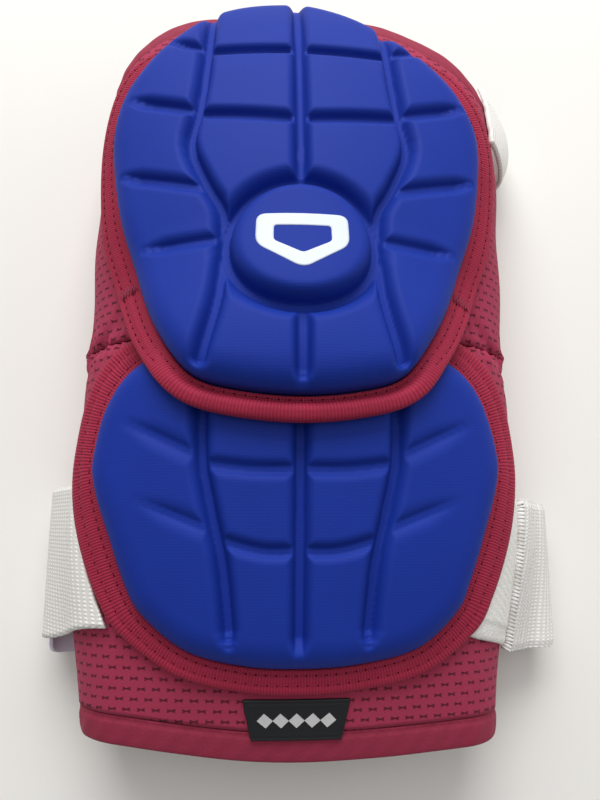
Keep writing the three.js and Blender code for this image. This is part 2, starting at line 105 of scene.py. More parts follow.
STRAP_THICKNESS = 1.6
STRAP_REACH_LEFT = BODY_HALF_WIDTH + 10.5
STRAP_REACH_RIGHT = BODY_HALF_WIDTH + 19
STRAP_SLANT = 2.0
LOWER_STRAP_WIDTH = 47.0
LOWER_STRAP_CENTRE = 68.0
UPPER_STRAP_WIDTH = 28.0
UPPER_STRAP_CENTRE = 92.0
UPPER_STRAP_REACH = BODY_HALF_WIDTH + 15.5
UPPER_STRAP_BOW = 4.0
FOLD_RISE = 10.0
FOLD_RUN = 12.0
STRAP_ROOT = 72.3
SIDE_RISE = 7.0
STRAP_HEM_THICKNESS = 3.2
PLUSH_THICKNESS = 1.6
PLUSH_START = 50.0
PLUSH_END = 81.0
PULL_TAB_THICKNESS = 1.2
PULL_TAB_OVERHANG = 4.5

# The frame's origin is under the middle of the guard, so the two places below say how far the drawing moves.
UPPER_STRAP_ROOT = BODY_HALF_WIDTH - SIDE_LEVEL + FOLD_RUN
SHIFT = np.array([
    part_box("upper_strap")[0][0] / MM + UPPER_STRAP_ROOT,
    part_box("lower_hem")[0][1] / MM + LOWER_LENGTH,
    0.0,
])
print("drawing moves by", SHIFT.round(2), "mm")

# %% Sections of the body, as shares
SECTIONS = {
    "along": [-1.0, -0.765, -0.445, 0.015, 0.33, 0.64, 0.836, 1.0],
    "left": [0.91, 0.955, 1.0, 0.962, 0.962, 0.951, 0.908, 0.8],
    "right": [0.905, 0.932, 1.021, 1.011, 1.028, 1.042, 0.993, 0.88],
    "crown": [0.648, 0.768, 0.88, 0.992, 1.0, 0.896, 0.752, 0.565],
    "side": [0.783, 0.87, 0.957, 1.0, 1.0, 0.957, 0.87, 0.735],
    "shoulder": [0.756, 0.786, 0.818, 0.769, 0.76, 0.794, 0.815, 0.842],
}
STATIONS = np.array([a * (LOWER_LENGTH if a < 0 else UPPER_LENGTH) for a in SECTIONS["along"]])
FLOOR_LEVEL = STRAP_THICKNESS + CLEARANCE


def smooth(share):
    s = np.clip(share, 0.0, 1.0)
    return s * s * (3 - 2 * s)


def mix(a, b, share):
    return a + (b - a) * share


def read_section(column, y):
    """A column of the section table at y, with smooth slopes between its rows."""
    rows = np.array(SECTIONS[column])
    last = len(rows) - 1
    i = np.clip(np.searchsorted(STATIONS, y, side="right") - 1, 0, last - 1)
    step = STATIONS[i + 1] - STATIONS[i]
    u = np.clip((y - STATIONS[i]) / step, 0, 1)
    low, high = np.maximum(0, np.arange(last + 1) - 1), np.minimum(last, np.arange(last + 1) + 1)
    slopes = (rows[high] - rows[low]) / (STATIONS[high] - STATIONS[low])
    a, b, m, n = rows[i], rows[i + 1], slopes[i] * step, slopes[i + 1] * step
    return a + u * (m + u * (3 * (b - a) - 2 * m - n + u * (2 * (a - b) + m + n)))

# %% [markdown]
# From flat cloth to the arched body
# The cloth is flat when it is cut. A place on it is (t, y): t is the length round the arm from the crown
# line, y the length along the arm. The arch is made of three arcs on each side, a wide one over the crown, a
# tight one at the shoulder and one that curls under. One function bends any flat place, with a height d over
# the cloth, into space, so pads, tapes, stitches and cloth all follow the same surface.

# %% Bend flat cloth round the arm
def section_arcs(t, y):
    side = read_section("side", y) * SIDE_LEVEL
    rise = read_section("crown", y) * CROWN_HEIGHT - side
    half = np.where(t < 0, read_section("left", y), read_section("right", y)) * BODY_HALF_WIDTH
    shoulder = read_section("shoulder", y) * rise
    crown_radius = ((half - shoulder) ** 2 + rise**2 - shoulder**2) / (2 * (rise - shoulder))
    turn = np.arcsin((half - shoulder) / (crown_radius - shoulder))
    crown_run = crown_radius * turn
    to_side = crown_run + shoulder * (math.pi / 2 - turn)
    return side, rise, half, shoulder, crown_radius, turn, crown_run, to_side


def bend(t, y, d=0.0):
    """Places (t, y, d) in millimetres, as points of the scene in metres."""
    t, y, d = np.broadcast_arrays(np.asarray(t, float), np.asarray(y, float), np.asarray(d, float))
    side, rise, half, shoulder, crown_radius, turn, crown_run, to_side = section_arcs(t, y)
    run = np.abs(t)
    curl = side - FLOOR_LEVEL
    on_crown, on_shoulder = run < crown_run, run < to_side
    angle = np.where(on_crown, run / crown_radius, np.where(
        on_shoulder, turn + (run - crown_run) / shoulder, math.pi / 2 + (run - to_side) / curl))
    radius = np.where(on_crown, crown_radius, np.where(on_shoulder, shoulder, curl)) + d
    centre_x = np.where(on_crown, 0.0, np.where(on_shoulder, half - shoulder, half - curl))
    centre_z = np.where(on_crown, side + rise - crown_radius, side)
    x = np.sign(t) * (centre_x + radius * np.sin(angle))
    z = centre_z + radius * np.cos(angle)
    return (np.stack([x, y, z], -1) + SHIFT) * MM


def cloth_reach(y):
    """How far the cloth goes round to its curled edge, on the left and on the right."""
    y = np.asarray(y, float)
    sides = []
    for sign in (-1.0, 1.0):
        side, *_, to_side = section_arcs(np.full_like(y, sign), y)
        sides.append(to_side + (side - FLOOR_LEVEL) * CURL_ANGLE)
    return sides


def flap_lift(t, y):
    """The upper pad's free flap climbs over the lower pad, from a hinge line that sags at the sides."""
    above = y + FLAP_SAG * (t / UPPER_PAD_HALF_WIDTH) ** 2
    share = smooth((FLAP_HINGE - above) / (FLAP_HINGE + LOWER_PAD_TOP_INSET + FLAP_RAMP))
    return SEAT + (LOWER_PAD_THICKNESS + CLEARANCE) * share


def seated(t, y):
    return SEAT + 0 * t


def over_cloth(spots, lift_at, height):
    """Flat places, bent round the arm at a height over what lies there."""
    t, y = spots[:, 0], spots[:, 1]
    return bend(t, y, lift_at(t, y) + height)


def fuller(wave, power):
    """A sine or cosine whose rounds are fuller, for flat sections with round edges."""
    return np.sign(wave) * np.abs(wave) ** power


def across_cloth(u):
    """The place across the whole cloth, from its left edge at 0 to its right edge at 1."""
    across = 2 * u - 1
    reach_left, reach_right = cloth_reach(np.zeros_like(u))
    return across * np.where(across < 0, reach_left, reach_right)


print("crown at the seam:", bend(0, 0).round(4), "m")

# %% [markdown]
# A grid that becomes anything
# Most pieces start as one bmesh grid. Its corners run from 0 to 1 in u and v. A function says where each
# (u, v) goes, and another writes the piece's own UV map in real metres, so weaves keep their true scale and
# follow the cloth. Where the grid closes on itself, doubles are merged.

# %% Helper: grid piece
def new_object(name, bm, material, smooth_faces=True):
    mesh = bpy.data.meshes.new(name)
    for face in bm.faces:
        face.smooth = smooth_faces
    bm.to_mesh(mesh)
    bm.free()
    made = bpy.data.objects.new(name, mesh)
    bpy.context.scene.collection.objects.link(made)
    if material:
        mesh.materials.append(material)
    return made


def grid_mesh(columns, rows, place, flat=None):
    """A bmesh grid with its vertices moved by place(u, v) and its UVs written by flat(u, v), in metres."""
    bm = bmesh.new()
    bmesh.ops.create_grid(bm, x_segments=columns, y_segments=rows, size=0.5)
    bm.verts.ensure_lookup_table()
    uv = np.array([(v.co.x + 0.5, v.co.y + 0.5) for v in bm.verts])
    u, v = uv[:, 0], uv[:, 1]
    points = place(u, v)
    if flat is not None:
        layer = bm.loops.layers.uv.new("cloth")
        flats = np.stack(flat(u, v), -1) * MM
        for face in bm.faces:
            for loop in face.loops:
                loop[layer].uv = flats[loop.vert.index]
    for vert, point in zip(bm.verts, points):
        vert.co = point
    return bm


def close_mesh(bm):
    bmesh.ops.remove_doubles(bm, verts=bm.verts, dist=0.00001)
    bmesh.ops.recalc_face_normals(bm, faces=bm.faces)


def give_wall(made, name, thickness):
    """A sheet gets its thickness, in metres, on the side away from its faces."""
    wall = made.modifiers.new(name, "SOLIDIFY")
    wall.thickness = thickness
    wall.offset = -1


def finish_piece(made, nodes, body="root"):
    """Ride on the body and stand for the CAD nodes, which are hidden."""
    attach(made, body)
    if nodes:
        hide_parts(*nodes)
    print(made.name, "has", len(made.data.polygons), "faces")
    return made

# %% [markdown]
# Materials
# Everything here is cloth of some kind, so the finishes differ in weave, sheen and roughness. Colours are
# written as sRGB hex and turned to linear once. One helper adds any node with its settings and links.

# %% Helpers for materials
def linear(code):
    parts = [int(code[i:i + 2], 16) / 255 for i in (1, 3, 5)]
    return tuple(c / 12.92 if c <= 0.04045 else ((c + 0.055) / 1.055) ** 2.4 for c in parts) + (1.0,)


def add(tree, kind, inputs=None, **settings):
    """One node of any kind, with its settings, and its inputs given as values, nodes or sockets."""
    made = tree.nodes.new("ShaderNode" + kind)
    for key, value in settings.items():
        setattr(made, key, value)
    for socket, value in (inputs or {}).items():
        if isinstance(value, bpy.types.Node):
            value = value.outputs[0]
        if isinstance(value, bpy.types.NodeSocket):
            tree.links.new(value, made.inputs[socket])
        else:
            made.inputs[socket].default_value = value
    return made


def cloth_material(name, roughness, sheen=0.0, sheen_tint="#ffffff", specular=0.35):
    """An empty cloth finish: returns the material, its tree and its shader."""
    material = bpy.data.materials.new(name)
    material.use_nodes = True
    tree = material.node_tree
    shader = tree.nodes["Principled BSDF"]
    shader.inputs["Roughness"].default_value = roughness
    shader.inputs["IOR"].default_value = 1.5
    shader.inputs["Specular IOR Level"].default_value = specular
    shader.inputs["Sheen Weight"].default_value = sheen
    shader.inputs["Sheen Roughness"].default_value = 0.4
    shader.inputs["Sheen Tint"].default_value = linear(sheen_tint)
    return material, tree, shader


def math_node(tree, operation, first, second=0.0, third=0.0):
    return add(tree, "Math", {0: first, 1: second, 2: third}, operation=operation)


def noise(tree, place, scale, detail):
    return add(tree, "TexNoise", {"Vector": place, "Scale": scale, "Detail": detail})


def stripes(tree, uv, period, axis, distortion=0.0):
    """Soft stripes across one axis of a map, one every period, in metres."""
    return add(tree, "TexWave", {"Vector": uv, "Scale": math.pi / 10 / period, "Distortion": distortion,
                                 "Detail": 1.0, "Detail Scale": 1.5}, bands_direction=axis)


def blend(tree, share, dark, light):
    """A colour between two: each is hex or a node's colour."""
    ends = [linear(c) if isinstance(c, str) else c for c in (dark, light)]
    return add(tree, "Mix", {0: share, 6: ends[0], 7: ends[1]}, data_type="RGBA").outputs[2]


def dress(tree, shader, colour, relief, distance):
    """Join a colour and a relief, whose full height is distance in metres, to the shader."""
    bump = add(tree, "Bump", {"Height": relief, "Distance": distance, "Strength": 1.0})
    tree.links.new(bump.outputs[0], shader.inputs["Normal"])
    tree.links.new(colour, shader.inputs["Base Color"])

# %% [markdown]
# Pad cover: polyester satin knit, heat moulded over foam
# A tight knit in royal blue. Its rows lie across the pad, 0.8 mm apart, and are only just seen. The cloth is
# nearly dull, so its colour comes from how much light each side of a groove gets.

# %% Pad cover
def pad_knit():
    material, tree, shader = cloth_material("satin_knit_royal_blue", 0.65, 0.0, "#ffffff", 0.18)
    uv = add(tree, "UVMap", uv_map="cloth")
    rows = stripes(tree, uv, 0.0008, "Y", 0.8)
    cloud = noise(tree, uv, 45.0, 4.0)
    grain = noise(tree, uv, 2200.0, 1.0)
    base = blend(tree, cloud.outputs["Fac"], "#112d8e", "#153398")
    tone = math_node(tree, "MULTIPLY", rows.outputs["Fac"], 0.1)
    colour = blend(tree, tone, base, "#0d1a6a")
    relief = math_node(tree, "MULTIPLY_ADD", rows.outputs["Fac"], 0.3, grain.outputs["Fac"])
    dress(tree, shader, colour, relief, 0.00003)
    return material

# %% [markdown]
# Binding tape: grosgrain, a ribbed woven tape
# Crimson polyester. The ribs are real relief on the tape's mesh, so the finish only adds its threads and
# painted shade: the valleys between ribs take a shaded copy of the crimson and the rib tops a lit copy, with
# a random cloud of tone between the two.

# %% Binding tape
def tape_weave(name, light, dark, rib):
    material, tree, shader = cloth_material(name, 0.7, 0.12, "#d8788c", 0.2)
    uv = add(tree, "UVMap", uv_map="cloth")
    ribs = stripes(tree, uv, rib, "X", 0.15)
    thread = noise(tree, uv, 1800.0, 2.0)
    cloud = noise(tree, uv, 60.0, 3.0)
    # painted shade: the rib stripes mix the shaded crimson into the valleys and the lit crimson onto the rib
    # tops; the cloud adds random tone between them
    tone = math_node(tree, "MULTIPLY_ADD", ribs.outputs["Fac"], 0.4, 0.25)
    tone = math_node(tree, "MULTIPLY_ADD", cloud.outputs["Fac"], 0.5, tone)
    relief = math_node(tree, "MULTIPLY_ADD", ribs.outputs["Fac"], 0.8, thread.outputs["Fac"])
    dress(tree, shader, blend(tree, tone, dark, light), relief, 0.0001)
    return material

# %% [markdown]
# Mesh body: perforated spacer knit
# The body cloth has rows of small openings, each like a flat bow tie, staggered from row to row. On the real
# cloth they are about 2.3 by 1 mm, 4.4 mm apart, in rows 2.9 mm apart. Each opening is found from the
# distance to the middle of its own cell in the cloth's UV map. The shade inside each opening is painted into
# the colour as a near-black crimson.

# %% Mesh body
def spacer_mesh():
    pitch_across, pitch_along = 0.0044, 0.0029
    material, tree, shader = cloth_material("spacer_mesh_crimson", 0.8, 0.15, "#e08aa0", 0.15)
    uv = add(tree, "UVMap", uv_map="cloth")
    part = add(tree, "SeparateXYZ", {0: uv})
    along = math_node(tree, "DIVIDE", part.outputs[1], pitch_along)
    odd = math_node(tree, "FLOORED_MODULO", math_node(tree, "FLOOR", along), 2.0)
    across = math_node(tree, "DIVIDE", part.outputs[0], pitch_across)
    across = math_node(tree, "MULTIPLY_ADD", odd, 0.5, across)
    wobble = noise(tree, uv, 600.0, 1.0)
    across = math_node(tree, "MULTIPLY_ADD", wobble.outputs["Fac"], 0.1, across)
    in_x = math_node(tree, "SUBTRACT", math_node(tree, "FRACT", across), 0.5)
    in_y = math_node(tree, "SUBTRACT", math_node(tree, "FRACT", along), 0.5)
    wide = math_node(tree, "ABSOLUTE", in_x)
    # the opening is tall at its two ends and pinched in its middle
    tall = math_node(tree, "MULTIPLY_ADD", wide, 0.55, 0.05)
    high = math_node(tree, "SUBTRACT", math_node(tree, "ABSOLUTE", in_y), tall)
    ends = math_node(tree, "SUBTRACT", wide, 0.25)
    outside = math_node(tree, "MAXIMUM", high, ends)
    hole = add(tree, "MapRange", {"Value": outside, "From Min": -0.05, "From Max": 0.05, "To Min": 1.0,
                                  "To Max": 0.0}, interpolation_type="SMOOTHSTEP")
    thread = noise(tree, uv, 1500.0, 2.0)
    cloud = noise(tree, uv, 40.0, 3.0)
    cloth = blend(tree, cloud.outputs["Fac"], "#9a304b", "#a83b57")
    # painted shade: each opening is coloured dark crimson for the shade inside it
    colour = blend(tree, math_node(tree, "MULTIPLY", hole, 0.75), cloth, "#3f1020")
    dress(tree, shader, colour, math_node(tree, "MULTIPLY_ADD", hole, -3.0, thread.outputs["Fac"]), 0.00012)
    return material

# %% [markdown]
# Knitted elastic
# White polyester over rubber. Its beads stand in columns that run across the strap, 2.3 mm apart, with a
# bead every 1.15 mm. Both counts come from the photo. The beads are relief in the finish, and the columns
# are in the mesh too, where they are shallow.

# %% Knitted elastic
COLUMN, BEAD = 2.3, 1.15


def knitted_elastic():
    material, tree, shader = cloth_material("knitted_elastic_white", 0.6, 0.1, "#ffffff", 0.35)
    uv = add(tree, "UVMap", uv_map="cloth")
    columns = stripes(tree, uv, COLUMN * MM, "X")
    beads = stripes(tree, uv, BEAD * MM, "Y", 0.3)
    full = math_node(tree, "MULTIPLY_ADD", beads.outputs["Fac"], 0.7, 0.3)
    height = math_node(tree, "MULTIPLY", columns.outputs["Fac"], full)
    thread = noise(tree, uv, 1600.0, 2.0)
    relief = math_node(tree, "MULTIPLY_ADD", thread.outputs["Fac"], 0.2, height)
    # painted shade: the low places between beads and columns take the greyer white, and the bead tops the
    # brighter white
    dress(tree, shader, blend(tree, height, "#e2dfda", "#fdfcfa"), relief, 0.0002)
    return material

# %% [markdown]
# Plain cloths: hem, label, plush and tab
# The hem is a smooth stretch knit and the label a tight woven satin. The plush is brushed loop, dull and
# fuzzy. The pull tab is a thin moulded film with a soft gloss. Sewing thread, needle holes and printed ink
# are cloths of the same kind here, each with its own thread size and gloss; the needle holes' near-black
# colour is painted shade in the punctures.

# %% Plain cloths
def plain_cloth(name, light, dark, roughness, thread, relief, sheen=0.2, specular=0.3):
    """A cloth with a fine thread and a slight change of tone. thread is its spacing in metres."""
    material, tree, shader = cloth_material(name, roughness, sheen, light, specular)
    place = add(tree, "TexCoord").outputs["Object"]
    fine = noise(tree, place, 1 / thread, 2.0)
    cloud = noise(tree, place, 50.0, 3.0)
    tone = math_node(tree, "MULTIPLY", fine.outputs["Fac"], 0.5)
    tone = math_node(tree, "MULTIPLY_ADD", cloud.outputs["Fac"], 0.5, tone)
    dress(tree, shader, blend(tree, tone, dark, light), fine.outputs["Fac"], relief)
    return material


RIB = 0.8
PAD_KNIT = pad_knit()
# the tape's two crimsons are its lit colour and a painted-shade copy for the rib valleys
TAPE = tape_weave("grosgrain_crimson", "#aa2c48", "#6e122b", RIB * MM)
MESH = spacer_mesh()
HEM = plain_cloth("stretch_knit_crimson", "#942c46", "#86243c", 0.75, 0.0008, 0.00012, 0.3)
LABEL = plain_cloth("woven_label_black", "#26272b", "#1a1b1e", 0.55, 0.0005, 0.00006)
LABEL_MARK = plain_cloth("label_thread_grey", "#dcdcdc", "#b9b9bb", 0.6, 0.0005, 0.00006)
ELASTIC = knitted_elastic()
PLUSH = plain_cloth("brushed_loop_white", "#f4f2ee", "#e2e0dc", 0.95, 0.0007, 0.00022, 0.5, 0.1)
TAB = plain_cloth("moulded_film_lavender", "#e6e2f0", "#dad5e6", 0.4, 0.002, 0.00003, 0.0, 0.4)
THREAD = plain_cloth("sewing_thread_crimson", "#9c2b47", "#6c1630", 0.6, 0.0004, 0.00008)
# painted shade: the needle holes' near-black colour stands for the shade in each puncture
NEEDLE_HOLE_SHADE = plain_cloth("needle_hole_painted_shade", "#3a0816", "#24040d", 0.9, 0.0004, 0.00005, 0.0, 0.05)
INK = plain_cloth("printed_ink_white", "#dce3ee", "#d0d9e8", 0.5, 0.0009, 0.00004)
print("materials:", len(bpy.data.materials))

# %% [markdown]
# Outlines
# Each pad has a smooth closed outline. It is drawn as shares: how far it reaches to the left and to the
# right, of its half width, and where along it, of its length. The upper pad's right corner is cut back the
# most. The same outline carries the pad's edge, its tape and the tape's stitches, each a little further out.

# %% Closed curves on the flat cloth
UPPER_OUTLINE = {
    "left": [0, 0.26, 0.46, 0.595, 0.765, 0.912, 0.978, 1.0, 0.944, 0.825, 0.71, 0.5, 0.28, 0],
    "right": [0, 0.25, 0.44, 0.565, 0.75, 0.908, 0.978, 1.0, 0.91, 0.75, 0.59, 0.34, 0.15, 0],
    "along": [0, 0.01, 0.035, 0.097, 0.216, 0.357, 0.472, 0.6, 0.703, 0.79, 0.852, 0.94, 0.985, 1.0],
}
LOWER_OUTLINE = {
    "left": [0, 0.26, 0.53, 0.745, 0.825, 0.918, 0.992, 1.0, 0.935, 0.79, 0.52, 0],
    "right": [0, 0.28, 0.58, 0.78, 0.845, 0.93, 0.995, 1.005, 0.935, 0.79, 0.52, 0],
    "along": [0, 0.01, 0.055, 0.161, 0.246, 0.403, 0.554, 0.645, 0.815, 0.922, 0.985, 1.0],
}
UPPER_SPAN = (-FLAP_OVERLAP, UPPER_LENGTH - UPPER_PAD_TOP_INSET)
LOWER_SPAN = (-LOWER_LENGTH + LOWER_PAD_BOTTOM_INSET, -LOWER_PAD_TOP_INSET)


def curve_through(points, closed, samples=1600):
    """A smooth line through flat points, sampled evenly by length, and its whole length."""
    points = np.asarray(points, float)
    count = len(points)
    ahead = np.roll(points, -1, 0) if closed else np.vstack([points[1:], points[-1:]])
    gaps = np.sqrt(np.linalg.norm(ahead - points, axis=1)) if closed else None
    if closed:
        knots = np.concatenate([[0], np.cumsum(gaps)])
        wrapped = np.vstack([points[-1:], points, points[:2]])
        times = np.concatenate([[-gaps[-1]], knots, [knots[-1] + gaps[0]]])
    else:
        knots = np.concatenate([[0], np.cumsum(np.sqrt(np.linalg.norm(np.diff(points, axis=0), axis=1)))])
        wrapped = np.vstack([2 * points[0] - points[1], points, 2 * points[-1] - points[-2]])
        times = np.concatenate([[-knots[1]], knots, [2 * knots[-1] - knots[-2]]])
    slopes = (wrapped[2:] - wrapped[:-2]) / (times[2:] - times[:-2])[:, None]
    spans = count if closed else count - 1
    line = []
    for k in range(spans):
        step = knots[k + 1] - knots[k]
        u = np.linspace(0, 1, max(4, samples // spans), endpoint=False)[:, None]
        a, b, m, n = wrapped[k + 1], wrapped[k + 2], slopes[k] * step, slopes[k + 1] * step
        line.append(a + u * (m + u * (3 * (b - a) - 2 * m - n + u * (2 * (a - b) + m + n))))
    line = np.vstack(line + [points[:1] if closed else points[-1:]])
    lengths = np.concatenate([[0], np.cumsum(np.linalg.norm(np.diff(line, axis=0), axis=1))])
    even = np.linspace(0, lengths[-1], samples + 1)
    return np.stack([np.interp(even, lengths, line[:, k]) for k in (0, 1)], -1), lengths[-1]


class Outline:
    """A pad's closed outline: its places and outward directions by share of its length."""

    def __init__(self, table, half_width, span):
        y = mix(*span, np.array(table["along"]))
        right = np.stack([np.array(table["right"]) * half_width, y], -1)
        left = np.stack([-np.array(table["left"]) * half_width, y], -1)[-2:0:-1]
        self.line, self.length = curve_through(np.vstack([right, left]), True)
        ahead = np.roll(self.line[:-1], -1, 0) - np.roll(self.line[:-1], 1, 0)
        ahead /= np.linalg.norm(ahead, axis=1)[:, None]
        self.out = np.stack([ahead[:, 1], -ahead[:, 0]], -1)
        self.out = np.vstack([self.out, self.out[:1]])
        self.middle = np.array([0.0, (span[0] + span[1]) / 2])

    def at(self, share, out=0.0):
        """Flat places at shares of the outline's length, moved outwards by out."""
        share = np.mod(share, 1.0)
        steps = np.linspace(0, 1, len(self.line))
        pick = lambda rows: np.stack([np.interp(share, steps, rows[:, k]) for k in (0, 1)], -1)
        place, away = pick(self.line), pick(self.out)
        return place + away * np.reshape(out, (-1, 1)) if np.ndim(out) else place + away * out

    def radius(self, angle):
        """Distance from the middle to the outline in each direction."""
        arms = self.line - self.middle
        turns = np.unwrap(np.arctan2(arms[:, 1], arms[:, 0]))
        sign = 1 if turns[-1] > turns[0] else -1
        low = turns[0] if sign > 0 else turns[-1]
        wrapped = low + np.mod(angle - low, 2 * math.pi)
        order = np.argsort(turns)
        return np.interp(wrapped, turns[order], np.linalg.norm(arms, axis=1)[order])


UPPER_EDGE = Outline(UPPER_OUTLINE, UPPER_PAD_HALF_WIDTH, UPPER_SPAN)
LOWER_EDGE = Outline(LOWER_OUTLINE, LOWER_PAD_HALF_WIDTH, LOWER_SPAN)
print("outlines round the pads:", round(UPPER_EDGE.length), "and", round(LOWER_EDGE.length), "mm")

# %% [markdown]
# Moulded grooves
# A hot mould presses grooves into the foam, so the pad bends with the arm. Each groove is a line on the flat
# cloth. A vertex near a line sinks by a soft V, narrow at its foot and rounded at its shoulders, and the cell
# between grooves stays full. Ends that run out on the pad fade over a few millimetres.

# %% Groove lines, as shares, mirrored where the pad is
# depth is in millimetres, wide is half the groove's width at its shoulders, fade how softly its two ends stop
UPPER_GROOVES = [
    {"mirrored": True, "depth": 4.3, "wide": 4.2, "fade": (0, 0), "run": [
        (0.485, 1.0), (0.488, 0.737), (0.51, 0.612), (0.54, 0.524), (0.445, 0.426), (0.37, 0.37),
        (0.355, 0.3), (0.35, 0.24), (0.365, 0.161), (0.42, 0.06)]},
    {"mirrored": False, "depth": 4.3, "wide": 4.0, "fade": (0, 0), "run": [(0, 1.0), (0, 0.43)]},
    {"mirrored": False, "depth": 4.0, "wide": 3.4, "fade": (0, 6), "run": [(0, 0.152), (0, 0.0)]},
    {"mirrored": True, "depth": 2.8, "wide": 4.2, "fade": (9, 0), "run": [(0.73, 0.825), (0.485, 0.785)]},
    {"mirrored": True, "depth": 2.8, "wide": 4.2, "fade": (9, 0), "run": [(0.9, 0.66), (0.52, 0.608)]},
    {"mirrored": True, "depth": 2.4, "wide": 4.2, "fade": (9, 0), "run": [(0.92, 0.474), (0.47, 0.42)]},
    {"mirrored": True, "depth": 2.2, "wide": 4.2, "fade": (9, 0), "run": [(0.77, 0.294), (0.345, 0.303)]},
    {"mirrored": True, "depth": 3.0, "wide": 3.8, "fade": (0, 2), "run": [(0.485, 0.772), (0.02, 0.774)]},
    {"mirrored": True, "depth": 3.0, "wide": 3.8, "fade": (0, 2), "run": [(0.51, 0.597), (0.02, 0.577)]},
]
LOWER_GROOVES = [
    {"mirrored": True, "depth": 4.0, "wide": 4.4, "fade": (0, 6), "run": [
        (0.446, 0.9), (0.45, 0.63), (0.405, 0.466), (0.352, 0.31), (0.31, 0.06)]},
    {"mirrored": False, "depth": 3.8, "wide": 4.2, "fade": (0, 6), "run": [(0, 0.9), (0, 0.035)]},
    {"mirrored": True, "depth": 1.7, "wide": 3.8, "fade": (0, 0), "run": [
        (0.44, 0.606), (0.215, 0.588), (0, 0.588)]},
    {"mirrored": True, "depth": 1.7, "wide": 3.8, "fade": (0, 0), "run": [
        (0.355, 0.38), (0.17, 0.349), (0, 0.349)]},
    {"mirrored": True, "depth": 1.4, "wide": 5.0, "fade": (14, 0), "run": [(0.84, 0.745), (0.47, 0.63)]},
    {"mirrored": True, "depth": 1.2, "wide": 5.0, "fade": (14, 0), "run": [(0.77, 0.505), (0.42, 0.415)]},
]
GROOVE_FOOT = 1.1


def sunk(far, wide, foot=GROOVE_FOOT):
    """A groove's section: full depth on its flat foot, then round shoulders that end level."""
    share = np.clip((far - foot) / (wide - foot), 0, 1)
    return 1 - (1 - (1 - share) ** 2.2) ** 0.75


def groove_depth(t, y, table, half_width, span):
    """Depth in millimetres at flat places: the deepest of all grooves that reach them."""
    places = np.stack([t, y], -1)
    depth = np.zeros(len(t))
    for groove in table:
        for side in ((-1, 1) if groove["mirrored"] else (1,)):
            run = [(side * a * half_width, mix(*span, b)) for a, b in groove["run"]]
            line, length = curve_through(run, False, samples=40 if len(run) > 3 else 10)
            steps = np.linspace(0, length, len(line))
            for k in range(len(line) - 1):
                start, step = line[k], line[k + 1] - line[k]
                along = np.clip(((places - start) @ step) / (step @ step), 0, 1)
                far = np.linalg.norm(places - start - along[:, None] * step, axis=1)
                near = far < groove["wide"]
                run_at = steps[k] + along[near] * (steps[k + 1] - steps[k])
                fade = 1.0
                if groove["fade"][0]:
                    fade = fade * smooth(run_at / groove["fade"][0])
                if groove["fade"][1]:
                    fade = fade * smooth((length - run_at) / groove["fade"][1])
                deep = groove["depth"] * sunk(far[near], groove["wide"] * (0.6 + 0.4 * fade)) * fade
                depth[near] = np.maximum(depth[near], deep)
    return depth

# %% [markdown]
# A pad
# The foam pad is a square grid pressed into a disc, then stretched to its outline and raised. Its underside
# grows from the same rim in a few rings, so it costs little. The shoulder rolls down to the tape in a
# quarter ellipse, as heat-moulded foam does.

# %% Pad builder
def disc(u, v):
    """A square's places pressed into a disc, so that quads stay even."""
    x, y = 2 * u - 1, 2 * v - 1
    return x * np.sqrt(1 - y * y / 2), y * np.sqrt(1 - x * x / 2)


def make_pad(name, outline, thickness, lift_at, relief, columns, rows, edge_share=0.33, roll=9.0):
    def top(u, v):
        dx, dy = disc(u, v)
        reach, angle = np.hypot(dx, dy), np.arctan2(dy, dx)
        far = outline.radius(angle)
        t = outline.middle[0] + reach * far * np.cos(angle)
        y = outline.middle[1] + reach * far * np.sin(angle)
        inside = np.clip((1 - reach) * far / roll, 0, 1)
        rolled = (1 - (1 - inside) ** 2.4) ** 0.5
        height = thickness * mix(edge_share, 1.0, rolled) + relief(t, y) * rolled
        top.flat = np.stack([t, y], -1)
        return bend(t, y, lift_at(t, y) + height)

    bm = grid_mesh(columns, rows, top, lambda u, v: top.flat.T)
    rim = [edge for edge in bm.edges if edge.is_boundary]
    flat = {vert: top.flat[vert.index] for vert in {v for edge in rim for v in edge.verts}}
    for reach in (1.0, 0.985, 0.93, 0.7, 0.4):
        grown = bmesh.ops.extrude_edge_only(bm, edges=rim)["geom"]
        new = [item for item in grown if isinstance(item, bmesh.types.BMVert)]
        rim = [item for item in grown if isinstance(item, bmesh.types.BMEdge) and item.is_boundary]
        parent = {}
        for vert in new:
            for edge in vert.link_edges:
                other = edge.other_vert(vert)
                if other in flat:
                    parent[vert] = flat[other]
        flat = parent
        spots = np.array([flat[vert] for vert in new])
        spots = outline.middle + (spots - outline.middle) * reach
        level = thickness * edge_share * 0.4 if reach == 1.0 else 0.0
        for vert, point in zip(new, over_cloth(spots, lift_at, level)):
            vert.co = point
    bmesh.ops.holes_fill(bm, edges=rim)
    close_mesh(bm)
    return new_object(name, bm, PAD_KNIT)


